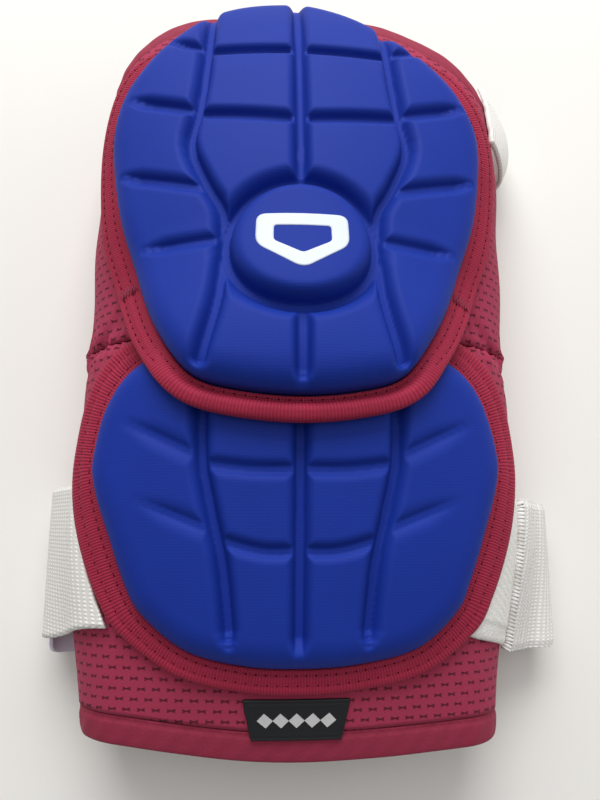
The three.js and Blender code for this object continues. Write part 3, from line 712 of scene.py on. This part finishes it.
def upper_relief(t, y):
    """Grooves and the boss of the upper pad, as a height over its plain top."""
    depth = groove_depth(t, y, UPPER_GROOVES, UPPER_PAD_HALF_WIDTH, UPPER_SPAN)
    across, along = t / BOSS_HALF_WIDTH, (y - BOSS_FROM_SEAM) / BOSS_HALF_LENGTH
    ring = np.hypot(across, along)
    from_rim = (ring - 1) * (BOSS_HALF_WIDTH + BOSS_HALF_LENGTH) / 2
    moat = MOAT_DEPTH * sunk(np.abs(from_rim - MOAT_MIDDLE), MOAT_WIDTH, MOAT_FOOT)
    outside = -np.maximum(depth, moat)
    dome = BOSS_RISE * (BOSS_SIDE_SHARE + 0.45 * np.sqrt(np.clip(1 - ring**2.5, 0, 1)))
    inside = np.clip(-(from_rim - BOSS_FOOT) / BOSS_ROUNDING, 0, 1)
    on_boss = (1 - (1 - inside) ** 2.2) ** 0.6
    return np.where(from_rim < BOSS_FOOT, mix(-MOAT_DEPTH, dome, on_boss), outside)


def lower_relief(t, y):
    return -groove_depth(t, y, LOWER_GROOVES, LOWER_PAD_HALF_WIDTH, LOWER_SPAN)


UPPER_PAD = make_pad("upper_pad_foam", UPPER_EDGE, UPPER_PAD_THICKNESS, flap_lift, upper_relief, 232, 284)
LOWER_PAD = make_pad("lower_pad_foam", LOWER_EDGE, LOWER_PAD_THICKNESS, seated, lower_relief, 250, 188)
finish_piece(UPPER_PAD, ["upper_pad"])
finish_piece(LOWER_PAD, ["lower_pad"])

# %% [markdown]
# The mark on the boss
# The boss carries a plain outline of a home plate, a general shape of the sport. It is a thin band that lies
# just over the boss and follows its dome.

# %% Boss mark
MARK_WIDTH, MARK_LENGTH, MARK_STROKE = 22.5, 17.5, 4.3
MARK_FROM_SEAM = BOSS_FROM_SEAM - 2.2
MARK_FILM, MARK_LIFT = 0.2, 0.12
MARK_OUTER_CORNER, MARK_INNER_CORNER = 2.6, 1.0


def boss_height(t, y):
    ring = np.hypot(t / BOSS_HALF_WIDTH, (y - BOSS_FROM_SEAM) / BOSS_HALF_LENGTH)
    return UPPER_PAD_THICKNESS + BOSS_RISE * (0.62 + 0.38 * np.sqrt(np.clip(1 - ring**2, 0, 1)))


def home_plate(width, length, corner, steps=6):
    """Right-hand turn round a five-sided plate with small round corners."""
    shape = np.array([(-0.5, 0.5), (0.5, 0.5), (0.5, -0.05), (0.0, -0.5), (-0.5, -0.05)]) * (width, length)
    ring = []
    for k in range(len(shape)):
        before, here, after = shape[k - 1], shape[k], shape[(k + 1) % len(shape)]
        into = (before - here) / np.linalg.norm(before - here)
        away = (after - here) / np.linalg.norm(after - here)
        for s in np.linspace(0, 1, steps):
            ring.append(here + corner * (into * (1 - s) ** 2 + away * s**2))
    return np.array(ring)


def make_mark():
    outer = home_plate(MARK_WIDTH, MARK_LENGTH, MARK_OUTER_CORNER)
    inner = home_plate(MARK_WIDTH - 2 * MARK_STROKE, MARK_LENGTH - 2 * MARK_STROKE, MARK_INNER_CORNER)
    inner[:, 1] += 0.5

    def place(u, v):
        at = u * len(outer)
        loop = lambda ring, k: np.interp(at, np.arange(len(ring) + 1), np.append(ring[:, k], ring[0, k]))
        t = mix(loop(inner, 0), loop(outer, 0), v)
        y = MARK_FROM_SEAM + mix(loop(inner, 1), loop(outer, 1), v)
        return bend(t, y, flap_lift(t, y) + boss_height(t, y) + MARK_LIFT)

    bm = grid_mesh(len(outer) * 4, 8, place)
    close_mesh(bm)
    made = new_object("boss_mark", bm, INK)
    give_wall(made, "film", MARK_FILM * MM)
    return made


finish_piece(make_mark(), [])

# %% [markdown]
# Binding tape
# A ribbed tape is folded over each pad's edge and sewn down with two rows of stitches. Its section is a flat
# cushion, pinched where each row pulls it down. Along the flap's free lower edge it wraps the edge and makes
# a thick roll. Each rib is four steps of the grid.

# %% Tape builder
STITCH = 2.7
UPPER_ROWS, LOWER_ROWS = (0.36, 0.76), (0.24, 0.62)


def upper_tape_width(place):
    room = UPPER_PAD_TOP_INSET - CLEARANCE
    side = smooth(2 * np.abs(place[:, 0]) / UPPER_PAD_HALF_WIDTH - 1)
    widest = mix(TAPE_WIDTH, UPPER_TAPE_SIDE_WIDTH, side)
    return mix(widest, room, smooth(2 * (place[:, 1] - UPPER_SPAN[1]) / TAPE_NARROWING + 2))


def lower_tape_width(place):
    side = (np.abs(place[:, 0]) / LOWER_PAD_HALF_WIDTH) ** LOWER_TAPE_SWELL
    return mix(TAPE_WIDTH, LOWER_TAPE_SIDE_WIDTH, smooth(side))


def flap_roll(place):
    return smooth(-place[:, 1] / FLAP_OVERLAP)


def no_roll(place):
    return np.zeros(len(place))


def sewn_row(row, roll):
    """A row's share of the tape's width. The flap's roll pushes it towards the pad."""
    return row * mix(1.0, 0.42, roll)


def tape_height(out_share, roll, rows):
    """Height of the tape's top at a share of its width, thick at its outer edge where it is rolled."""
    rolled = smooth((out_share - 0.2) / 0.25)
    height = mix(TAPE_THICKNESS, mix(TAPE_THICKNESS * 0.85, ROLLED_EDGE, rolled), roll)
    for row in rows:
        pinch = np.exp(-(((out_share - sewn_row(row, roll)) / 0.06) ** 2))
        height = height - 0.5 * pinch * (1 - rolled * roll)
    return height


def make_tape(name, outline, width_at, lift_at, roll_at, rows, sides=28):
    ribs = round(outline.length / RIB)

    def place(u, v):
        edge = outline.at(u)
        width, roll = width_at(edge), roll_at(edge)
        angle = 2 * math.pi * v
        cos, sin = np.cos(angle), np.sin(angle)
        across = 0.5 - 0.5 * fuller(cos, 0.85)
        high = 0.5 + 0.5 * fuller(sin, 0.5)
        spot = outline.at(u, CLEARANCE + across * (width - CLEARANCE))
        ribbing = -0.06 * np.cos(2 * math.pi * u * ribs) * np.clip(sin, 0, 1)
        height = tape_height(across, roll, rows) * high + ribbing
        return over_cloth(spot, lift_at, height)

    bm = grid_mesh(ribs * 4, sides, place, lambda u, v: (u * ribs * RIB, v * 2 * TAPE_WIDTH))
    close_mesh(bm)
    return new_object(name, bm, TAPE)


def stitch_places(outline, width_at, lift_at, roll_at, rows):
    """Where each stitch starts and ends on the tape: points and outward directions, in metres."""
    count = round(outline.length / STITCH)
    sewn = []
    for row in rows:
        shares = (np.arange(count) + 0.37 * row) / count
        for offset in (0.0, 0.7):
            u = shares + offset / count
            edge = outline.at(u)
            width, roll = width_at(edge), roll_at(edge)
            keep = (width > 5) & ((roll < 0.4) | (row == rows[0]))
            share = sewn_row(row, roll)
            spot = outline.at(u, CLEARANCE + share * (width - CLEARANCE))
            top = tape_height(share, roll, rows)
            low, high = (over_cloth(spot, lift_at, top + rise) for rise in (0, 1))
            sewn.append((low, (high - low) / MM, keep))
    return sewn


def make_stitches(name, sewn, material, half_width, half_length=None, sink=0.0):
    """Short threads between needle holes, or the holes themselves where half_length is given."""
    bm = bmesh.new()
    for k in range(0, len(sewn), 2):
        (start, up, keep), (end, _, _) = sewn[k], sewn[k + 1]
        for a, b, out, good in zip(start, end, up, keep):
            if not good:
                continue
            a, b, out = Vector(a), Vector(b), Vector(out)
            along = (b - a).normalized()
            side = out.cross(along).normalized()
            middle, reach = (a + b) / 2, (b - a).length / 2
            if half_length:
                middle, reach = a - along * (half_length + 0.25) * MM, half_length * MM
            axes = (along * reach, side * half_width * MM, out * half_width * 0.8 * MM)
            frame_at = Matrix(axes).transposed()
            bmesh.ops.create_icosphere(bm, subdivisions=1, radius=1.0, matrix=Matrix.Translation(
                middle + out * (half_width * 0.3 - sink) * MM) @ frame_at.to_4x4())
    return new_object(name, bm, material)


for label, outline, width_at, lift_at, roll_at, rows in (
        ("upper", UPPER_EDGE, upper_tape_width, flap_lift, flap_roll, UPPER_ROWS),
        ("lower", LOWER_EDGE, lower_tape_width, seated, no_roll, LOWER_ROWS)):
    tape = make_tape(label + "_binding_tape", outline, width_at, lift_at, roll_at, rows)
    finish_piece(tape, [label + "_binding"])
    sewn = stitch_places(outline, width_at, lift_at, roll_at, rows)
    finish_piece(make_stitches(label + "_binding_thread", sewn, THREAD, 0.2), [])
    # painted shade: a near-black blob at each needle hole stands for the shade in the puncture
    finish_piece(make_stitches(label + "_needle_holes", sewn, NEEDLE_HOLE_SHADE, 0.27, 0.34, 0.02), [])

# %% [markdown]
# Bar tacks
# Where the upper tape's two halves meet its loose lower part, a short bar of stitches holds it on each side.
# Each bar is a row of threads that lean to and fro, as a sewing machine lays them.

# %% Bar tacks
TACK_LEFT, TACK_RIGHT = 15.5, 13.0
TACK_STITCHES, TACK_LEAN, TACK_START, TACK_END = 11, 4.2, 0.16, 0.8


def tack_threads(side, y):
    """Starts, outward directions and ends of the threads in one bar across the tape."""
    shares = np.linspace(0, 1, 2001)
    ring = UPPER_EDGE.at(shares)
    beside = (np.sign(ring[:, 0]) == side) & (ring[:, 1] < UPPER_SPAN[1] - TAPE_NARROWING)
    share = shares[beside][np.argmin(np.abs(ring[beside, 1] - y))]
    count = TACK_STITCHES
    lean = TACK_LEAN * (np.arange(count) % 2 - 0.5) / UPPER_EDGE.length
    width = upper_tape_width(UPPER_EDGE.at(np.array([share])))[0]
    across = np.linspace(TACK_START, TACK_END, count + 1)
    ends = []
    for moved, out_share in ((-lean, across[:-1]), (lean, across[1:])):
        spot = UPPER_EDGE.at(share + moved, CLEARANCE + out_share * (width - CLEARANCE))
        ends.append([over_cloth(spot, flap_lift, TAPE_THICKNESS + rise) for rise in (0, 1)])
    (start, over), (end, _) = ends
    return [(start, (over - start) / MM, np.ones(count, bool)), (end, None, None)]


TACKS = tack_threads(-1, TACK_LEFT) + tack_threads(1, TACK_RIGHT)
finish_piece(make_stitches("bar_tacks", TACKS, THREAD, 0.26), [])

# %% [markdown]
# Mesh body
# The body is cut from spacer mesh in an upper and a lower panel. Each is one grid of flat cloth that is bent
# round the arm and then given its wall by Solidify. Where the panels are sewn together the cloth gathers in
# small puckers. Pulls run from the end of the flap's seam to the side, and the seam's end stands out.

# %% Cloth panels
def upper_end_at(t):
    start = np.where(t < 0, CORNER_START_LEFT, CORNER_START_RIGHT)
    return UPPER_LENGTH - CORNER_DROP * smooth((np.abs(t) - start) / CORNER_RUN)


def lower_end_at(t):
    rise = np.where(t < 0, LOWER_CORNER_RISE_LEFT, LOWER_CORNER_RISE_RIGHT)
    return -LOWER_LENGTH + rise * smooth(np.abs(t) / BODY_HALF_WIDTH)


def puckers(t, y):
    """How far the cloth sinks or rises near the seam and the flap's ends, in millimetres."""
    run = np.abs(t)
    at_side = smooth((run - 42) / 10)
    seam = -1.1 * np.exp(-((y / 1.6) ** 2))
    gathers = 0.5 * np.sin(t * 1.9) * np.exp(-((y / 3.5) ** 2))
    gathers = gathers + 0.4 * np.sin(t * 0.9) * np.exp(-((y / 7) ** 2))
    nub = 1.6 * np.exp(-(((run - 80) / 3.5) ** 2) - ((y - 0.5) / 1.6) ** 2)
    pull = 0.0
    for slope, rise in ((0.9, 10.0), (0.45, 5.5)):
        fold = np.exp(-((((run - 56) * slope + y - rise) / 2.0) ** 2))
        pull = pull - 0.7 * fold * smooth((20 - np.abs(y)) / 14)
    waves = 0.35 * np.sin(y * 0.16 + t * 0.05) * smooth((run - 60) / 20)
    crease = -0.7 * np.exp(-(((y - 109 + 0.15 * (t - 50)) / 1.0) ** 2)) * smooth(1 - np.abs(t - 51) / 8)
    return (seam + gathers + nub + pull) * at_side + waves + crease


def make_panel(name, start_at, end_at, columns, rows, thickness, material, relief):
    def spread(u, v):
        t = across_cloth(u)
        return t, mix(start_at(t), end_at(t), v)

    def place(u, v):
        t, y = spread(u, v)
        return bend(t, y, relief(t, y))

    bm = grid_mesh(columns, rows, place, spread)
    made = new_object(name, bm, material)
    give_wall(made, "wall", thickness * MM)
    return made


PANEL_GRID = (264, 90)
constant = lambda value: (lambda t: np.full_like(t, value))
UPPER_MESH = make_panel("upper_mesh_cloth", constant(CLEARANCE),
                        lambda t: upper_end_at(t) - HEM_WIDTH - CLEARANCE, *PANEL_GRID, WALL, MESH, puckers)
LOWER_MESH = make_panel("lower_mesh_cloth", lambda t: lower_end_at(t) + HEM_WIDTH + CLEARANCE, constant(0.0),
                        *PANEL_GRID, WALL, MESH, puckers)
finish_piece(UPPER_MESH, ["upper_mesh"])
finish_piece(LOWER_MESH, ["lower_mesh"])

# %% [markdown]
# Hems
# A band of smooth stretch cloth is folded over each end of the body and sewn down by one row of stitches. Its
# section is a flat loop with a round fold at the free end, swept across the whole cloth.

# %% Hem builder
def make_hem(name, inner_at, outer_at, columns=420, sides=32):
    def place(u, v):
        t = across_cloth(u)
        angle = 2 * math.pi * v
        cos, sin = np.cos(angle), np.sin(angle)
        run = 0.5 - 0.5 * fuller(cos, 0.6)
        high = 0.5 * fuller(sin, 0.3)
        y = mix(inner_at(t), outer_at(t), run)
        top = np.clip(3 * sin, 0, 1)
        stitched = 0.75 + 0.25 * np.cos(2 * math.pi * t / STITCH)
        stitched = stitched * 0.5 * np.exp(-(((run - 0.14) / 0.07) ** 2))
        wave = 0.16 * np.sin(t * 0.9 + run * 4) * run * (1 - run) * 4 + 0.12 * np.sin(t * 0.27)
        return bend(t, y, -HEM_THICKNESS / 2 + HEM_THICKNESS * high + top * (wave - stitched))

    bm = grid_mesh(columns, sides, place)
    bmesh.ops.remove_doubles(bm, verts=bm.verts, dist=0.00001)
    bmesh.ops.holes_fill(bm, edges=bm.edges)
    bmesh.ops.recalc_face_normals(bm, faces=bm.faces)
    return new_object(name, bm, HEM)


UPPER_HEM = make_hem("upper_hem_band", lambda t: upper_end_at(t) - HEM_WIDTH, upper_end_at)
LOWER_HEM = make_hem("lower_hem_band", lambda t: lower_end_at(t) + HEM_WIDTH, lower_end_at)
finish_piece(UPPER_HEM, ["upper_hem"])
finish_piece(LOWER_HEM, ["lower_hem"])

# %% [markdown]
# Label
# A small black woven label is sewn under the lower pad. It holds a row of plain grey diamonds, as woven in a
# satin label.

# %% Label
LABEL_WIDTH, LABEL_LENGTH, LABEL_TAPER = 30.0, 11.0, 0.84
LABEL_THICKNESS, LABEL_GAP = 0.8, 1.8
LABEL_NAP, SELVAGE = 0.1, 1.4
DIAMOND_LINE, DIAMOND_THREAD, DIAMOND_CORE = 0.0007, 0.00015, 1.5e-6
LABEL_TOP = LOWER_SPAN[0] - TAPE_WIDTH - LABEL_GAP


def on_label(u, v, d):
    t = (2 * u - 1) * LABEL_WIDTH / 2 * mix(LABEL_TAPER, 1.0, v)
    return bend(t, LABEL_TOP - LABEL_LENGTH * (1 - v), d)


def make_label():
    def place(u, v):
        edge = np.minimum(np.minimum(u, 1 - u) * LABEL_WIDTH, np.minimum(v, 1 - v) * LABEL_LENGTH)
        selvage = 0.12 * np.cos(2 * math.pi * edge / SELVAGE) * (edge < SELVAGE)
        return on_label(u, v, CLEARANCE + LABEL_THICKNESS - LABEL_NAP + selvage)

    made = new_object("woven_label", grid_mesh(70, 28, place), LABEL)
    give_wall(made, "cloth", (LABEL_THICKNESS - LABEL_NAP) * MM)
    return made


def make_label_marks(count=5, half=2.0):
    bm = bmesh.new()
    for k in range(count):
        centre = (k + 0.5) / count * 0.8 + 0.1
        ring = [(centre, 0.5 + half / LABEL_LENGTH), (centre + half * 1.2 / LABEL_WIDTH, 0.5),
                (centre, 0.5 - half / LABEL_LENGTH), (centre - half * 1.2 / LABEL_WIDTH, 0.5)]
        lift = CLEARANCE + LABEL_THICKNESS + LABEL_NAP
        corners = [bm.verts.new(on_label(u, v, lift)) for u, v in ring]
        bmesh.ops.inset_region(bm, faces=[bm.faces.new(corners[::-1])], thickness=DIAMOND_LINE)
    inner = [face for face in bm.faces if face.calc_area() < DIAMOND_CORE and len(face.verts) == 4
             and all(len(edge.link_faces) == 2 for edge in face.edges)]
    bmesh.ops.delete(bm, geom=inner, context="FACES_ONLY")
    bmesh.ops.recalc_face_normals(bm, faces=bm.faces)
    made = new_object("label_diamonds", bm, LABEL_MARK, smooth_faces=False)
    give_wall(made, "thread", DIAMOND_THREAD)
    return made


WOVEN_LABEL = finish_piece(make_label(), ["label"])
finish_piece(make_label_marks(), [])

# %% [markdown]
# Straps
# Two elastic straps cross under the arm. Each is a flat band that lies on the table, folds up at the side
# and meets the body. The band's path is drawn in the plane across the arm, and a grid follows it. The knit's
# columns run across the strap, so each vertex rises a little with them.

# %% Strap paths
LEFT_FOLD = STRAP_REACH_LEFT - STRAP_THICKNESS / 2
RIGHT_FOLD = STRAP_REACH_RIGHT - STRAP_HEM_THICKNESS / 2
FOLD_STEPS = 40


def on_body(thickness):
    return CLEARANCE + thickness / 2


def fold_up(side, reach, inset=0.0):
    """From the table up to the fold's widest place, as x and z of the band's middle."""
    angle = np.linspace(0, math.pi / 2, FOLD_STEPS)
    x = reach - FOLD_RUN + (FOLD_RUN - inset) * np.sin(angle)
    z = STRAP_THICKNESS / 2 + FOLD_RISE - (FOLD_RISE - inset) * np.cos(angle)
    return np.stack([side * x, z], -1)


def off_cloth(t, y, d):
    """A place over the cloth, as x and z of the drawing in millimetres."""
    return (bend(t, y, d) / MM - SHIFT)[..., [0, 2]]


def fold_to_body(side, reach, y, d):
    """From the fold's widest place to where the band lies on the body."""
    end, further = off_cloth(side * STRAP_ROOT, y, d), off_cloth(side * STRAP_ROOT, y, d + 1)
    down = np.array([side * (further - end)[1], -side * (further - end)[0]])
    start = np.array([side * reach, STRAP_THICKNESS / 2 + FOLD_RISE])
    handle = start + (0, FOLD_RISE * 0.7)
    arrive = end + down * FOLD_RISE * 0.8
    s = np.linspace(0, 1, FOLD_STEPS)[:, None]
    return (1 - s) ** 3 * start + 3 * s * (1 - s) ** 2 * handle + 3 * s * s * (1 - s) * arrive + s**3 * end


def join_paths(*paths):
    return np.vstack([paths[0]] + [p[1:] for p in paths[1:]])


def run_along(line):
    return np.concatenate([[0], np.cumsum(np.linalg.norm(np.diff(line, axis=0), axis=1))])


def make_band(name, path_at, edges_at, thickness, slant, material, columns, rows, relief=None):
    """A band swept along a path. path_at takes y, edges_at a share of the length, relief flat places.
    Lengths are measured from the path's far end, so that the knit's columns stay straight."""
    middle = 0.5 * sum(float(edge[0]) for edge in edges_at(np.array([0.5])))
    total = run_along(path_at(middle))[-1]

    def sweep(u, v):
        low, high = edges_at(u)
        y = mix(low, high, v)
        spots, flat = np.empty((len(u), 3)), np.stack([u * 0, y], -1)
        ends = [float(edge[0]) for edge in edges_at(np.array([0.5]))]
        for row in np.unique(v):
            at_row = v == row
            line = path_at(mix(*ends, row))
            run = run_along(line)
            at = u[at_row] * run[-1]
            flat[at_row, 0] = run[-1] - at
            slope = np.gradient(line, run, axis=0)
            x, z = np.interp(at, run, line[:, 0]), np.interp(at, run, line[:, 1])
            dx, dz = np.interp(at, run, slope[:, 0]), np.interp(at, run, slope[:, 1])
            up = thickness / 2 + (relief(run[-1] - at, y[at_row], u[at_row], v[at_row]) if relief else 0.0)
            x, z = x - dz / np.hypot(dx, dz) * up, z + dx / np.hypot(dx, dz) * up
            spots[at_row] = np.stack([x, y[at_row] - slant * x / BODY_HALF_WIDTH, z], -1)
        sweep.flat = flat
        return (spots + SHIFT) * MM

    bm = grid_mesh(columns, rows, sweep, lambda u, v: sweep.flat.T)
    made = new_object(name, bm, material)
    give_wall(made, "band", thickness * MM)
    return made, total


def edges_of(centre, width):
    return lambda share: tuple(np.full(np.shape(share), centre + side * width / 2) for side in (-1, 1))


def knit_columns(at, y, u, v):
    """Columns of the elastic, in step with its finish, flat along the strap's two edges."""
    edge = smooth(np.minimum(v, 1 - v) * 12)
    return 0.16 * edge * (0.5 - 0.5 * np.cos(2 * math.pi * at / COLUMN)) ** 0.7 - 0.12


def flipped(path_at):
    return lambda y: path_at(y)[::-1]


print("folds reach", LEFT_FOLD, "and", RIGHT_FOLD, "mm")

# %% Lower strap
LOWER_EDGES = edges_of(-LOWER_STRAP_CENTRE, LOWER_STRAP_WIDTH)
FOLD_SHARE = 0.18


def rising_edges(share):
    """The strap's lower edge rises between its left fold and the tape."""
    low, high = LOWER_EDGES(share)
    return low + SIDE_RISE * smooth(1 - np.asarray(share, float) / FOLD_SHARE), high


def risen(y):
    return SIDE_RISE * (LOWER_STRAP_HIGH - y) / LOWER_STRAP_WIDTH


LOWER_STRAP_LOW, LOWER_STRAP_HIGH = (float(edge[0]) for edge in LOWER_EDGES(np.zeros(1)))


def lower_tape_edge(y):
    """How far the lower tape reaches from the crown line, at each y."""
    shares = np.linspace(0, 1, 1201)
    ring = LOWER_EDGE.at(shares, lower_tape_width(LOWER_EDGE.at(shares)))
    right = ring[ring[:, 0] > 5]
    right = right[np.argsort(right[:, 1])]
    spots = np.atleast_1d(y)
    low, high = np.searchsorted(right[:, 1], spots - 1.5), np.searchsorted(right[:, 1], spots + 1.5)
    return np.array([right[a:b, 0].max() if b > a else 0.0 for a, b in zip(low, high)])


def lower_strap_path(y):
    """From beside the lower tape on the left, over the side, under the body and up to the right fold."""
    row = y + STRAP_SLANT + risen(y)
    start = min(float(lower_tape_edge(row)[0]) - 0.6, STRAP_ROOT - 1)
    t = np.linspace(start, STRAP_ROOT, 30)
    lift = on_body(STRAP_THICKNESS) + 0.5 * np.sin(np.linspace(0, math.pi, 30))
    side = off_cloth(-t, row, lift)
    fold = fold_to_body(-1, LEFT_FOLD, row, on_body(STRAP_THICKNESS))[::-1]
    return join_paths(side, fold, fold_up(-1, LEFT_FOLD)[::-1], fold_up(1, RIGHT_FOLD))


LOWER_STRAP, LOWER_STRAP_RUN = make_band(
    "lower_strap_elastic", lower_strap_path, rising_edges, STRAP_THICKNESS, STRAP_SLANT, ELASTIC, 640, 30,
    knit_columns)
finish_piece(LOWER_STRAP, ["lower_strap"])

# %% Thick end of the lower strap
HEM_COLUMNS, HEM_RIDGE, HEM_RIDGES = 11, 0.19, (0.2, 0.8)


def hem_beads(at, y, u, v):
    """Two beaded ridges with a valley between them. The beads line up with the finish along the strap."""
    inner, outer = (np.exp(-(((u - middle) / HEM_RIDGE) ** 4)) for middle in HEM_RIDGES)
    beads = (1 + np.cos(2 * math.pi * u * HEM_COLUMNS)) * (1 + np.cos(2 * math.pi * y / BEAD))
    edge = np.minimum(v, 1 - v) * LOWER_STRAP_WIDTH
    return (1.3 + 0.07 * beads) * inner + (1.2 + 0.04 * beads) * outer - 1.7 - 0.5 * (1 - smooth(edge / 2.5))


def hem_path(y):
    ride = PLUSH_THICKNESS + CLEARANCE + on_body(STRAP_HEM_THICKNESS)
    path = fold_to_body(1, RIGHT_FOLD, y - STRAP_SLANT, ride)
    path[:, 1] += 3 * CLEARANCE * (1 - smooth(np.linspace(0, 3, len(path))))
    return path


STRAP_HEM, _ = make_band(
    "lower_strap_end", flipped(hem_path), LOWER_EDGES, STRAP_HEM_THICKNESS, STRAP_SLANT, ELASTIC, 96, 184,
    hem_beads)
finish_piece(STRAP_HEM, ["lower_strap_hem"])

# %% Brushed loop tab
PLUSH_BORDER, PLUSH_RIB, PLUSH_NAP = 0.13, 1.1, 0.15


def make_plush():
    low, high = LOWER_STRAP_LOW - STRAP_SLANT, LOWER_STRAP_HIGH - STRAP_SLANT

    def spread(u, v):
        y = mix(low, high, v) + SIDE_RISE * (1 - v) * (1 - u)
        inner = np.maximum(PLUSH_START, lower_tape_edge(y) - 0.8)
        return mix(inner, PLUSH_END, u), y

    def place(u, v):
        t, y = spread(u, v)
        border = smooth((PLUSH_BORDER - v) / 0.02)
        ribs = PLUSH_NAP * np.sin(2 * math.pi * t / PLUSH_RIB) * border
        swell = 0.12 * np.sin(t * 1.7 + y) * np.sin(y * 1.3) * (1 - border) - 0.35 * border
        edge = np.minimum(v, 1 - v) * (high - low)
        rounded = -0.5 * (1 - smooth(edge / 1.4))
        return bend(t, y, CLEARANCE + PLUSH_THICKNESS + swell + ribs + rounded)

    made = new_object("plush_loop_tab", grid_mesh(70, 84, place, spread), PLUSH)
    give_wall(made, "plush", (PLUSH_THICKNESS - PLUSH_NAP) * MM)
    return made, high - low


PLUSH_TAB, PLUSH_LENGTH = make_plush()
finish_piece(PLUSH_TAB, ["lower_plush_tab"])

# %% Pull tab
def pull_tab_edges(share):
    round_end = FOLD_RISE * (1 - np.sqrt(np.clip(1 - (2 * np.asarray(share, float) - 1) ** 4, 0, 1)))
    low = LOWER_STRAP_LOW - PULL_TAB_OVERHANG - 1.5 + round_end * 0.5
    return low, np.full(np.shape(share), LOWER_STRAP_HIGH - PULL_TAB_OVERHANG)


def pull_tab_path(y):
    return fold_up(-1, LEFT_FOLD, STRAP_THICKNESS / 2 + on_body(PULL_TAB_THICKNESS))[::-1]


PULL_TAB, _ = make_band(
    "pull_tab_film", pull_tab_path, pull_tab_edges, PULL_TAB_THICKNESS, STRAP_SLANT, TAB, 40, 60)
finish_piece(PULL_TAB, ["strap_pull_tab"])

# %% Upper strap
UPPER_FOLD = UPPER_STRAP_REACH - STRAP_THICKNESS / 2
UPPER_STRAP_TUCK = 12.0
UPPER_EDGES = edges_of(UPPER_STRAP_CENTRE, UPPER_STRAP_WIDTH)


def upper_strap_path(y):
    """From under the left side, across the table and up the right side, where the fold bows outwards."""
    fold = UPPER_FOLD - UPPER_STRAP_BOW * (2 * (y - UPPER_STRAP_CENTRE) / UPPER_STRAP_WIDTH) ** 2
    start = np.array([UPPER_STRAP_TUCK - UPPER_STRAP_ROOT, STRAP_THICKNESS / 2])
    across = np.linspace(start, fold_up(1, fold)[0], 60)
    return join_paths(across, fold_up(1, fold), fold_to_body(1, fold, y, on_body(STRAP_THICKNESS)))


UPPER_STRAP, UPPER_STRAP_RUN = make_band(
    "upper_strap_elastic", flipped(upper_strap_path), UPPER_EDGES, STRAP_THICKNESS, 0.0, ELASTIC,
    560, 28, knit_columns)
finish_piece(UPPER_STRAP, ["upper_strap"])

# %% [markdown]
# Floor, camera and light
# The guard lies on a pale sweep. The camera stands where the photo's stood: about a quarter of a metre above
# the lower pad, looking down and a little up the arm. The main light is a wide soft box beyond the upper end.

# %% Stage
def look(forward, up):
    forward, up = Vector(forward).normalized(), Vector(up)
    right = forward.cross(up).normalized()
    up = right.cross(forward)
    return Matrix((right, up, -forward)).transposed().to_4x4()


def make_floor():
    bm = bmesh.new()
    bmesh.ops.create_grid(bm, x_segments=1, y_segments=1, size=2.0)
    made = new_object("studio_floor", bm, None)
    material = bpy.data.materials.new("pale_floor_paper")
    material.use_nodes = True
    shader = material.node_tree.nodes["Principled BSDF"]
    shader.inputs["Base Color"].default_value = linear("#e8e6e2")
    shader.inputs["Roughness"].default_value = 0.9
    made.data.materials.append(material)
    return made


def soft_box(name, place, aim, size, watts, colour="#ffffff"):
    light = bpy.data.lights.new(name, "AREA")
    light.shape, light.size, light.size_y = "RECTANGLE", size[0], size[1]
    light.energy = watts
    light.color = linear(colour)[:3]
    made = bpy.data.objects.new(name, light)
    made.matrix_world = Matrix.Translation(place) @ look(Vector(aim) - Vector(place), (0, 0.01, 1))
    bpy.context.scene.collection.objects.link(made)
    return made


make_floor()
soft_box("light_over_top", (-0.1, 0.9, 0.8), (0, 0, 0.03), (1.0, 0.6), 14.5)
soft_box("light_above", (-0.1, 0.25, 1.2), (0, 0, 0), (1.2, 1.0), 5.0)
soft_box("light_right", (0.9, 0.1, 0.5), (0, 0, 0.02), (0.5, 0.9), 1.5)

world = bpy.data.worlds.new("studio_air")
world.use_nodes = True
world.node_tree.nodes["Background"].inputs[0].default_value = linear("#f6f5f2")
world.node_tree.nodes["Background"].inputs[1].default_value = 0.24
bpy.context.scene.world = world
bpy.context.scene.view_settings.view_transform = "Standard"

camera = bpy.data.objects.new("photo_camera", bpy.data.cameras.new("photo_camera"))
camera.data.lens = 29.16
camera.data.sensor_width = 36.0
camera.data.dof.use_dof = False
camera.data.clip_start = 0.01
camera_place = (np.array([-10.4, -58.0, 240.0]) + SHIFT) * MM
camera_turn = look((0.0575, 0.2075, -0.9765), (-0.0106, 0.978, 0.2077))
camera.matrix_world = Matrix.Translation(camera_place) @ camera_turn
bpy.context.scene.collection.objects.link(camera)
bpy.context.scene.camera = camera
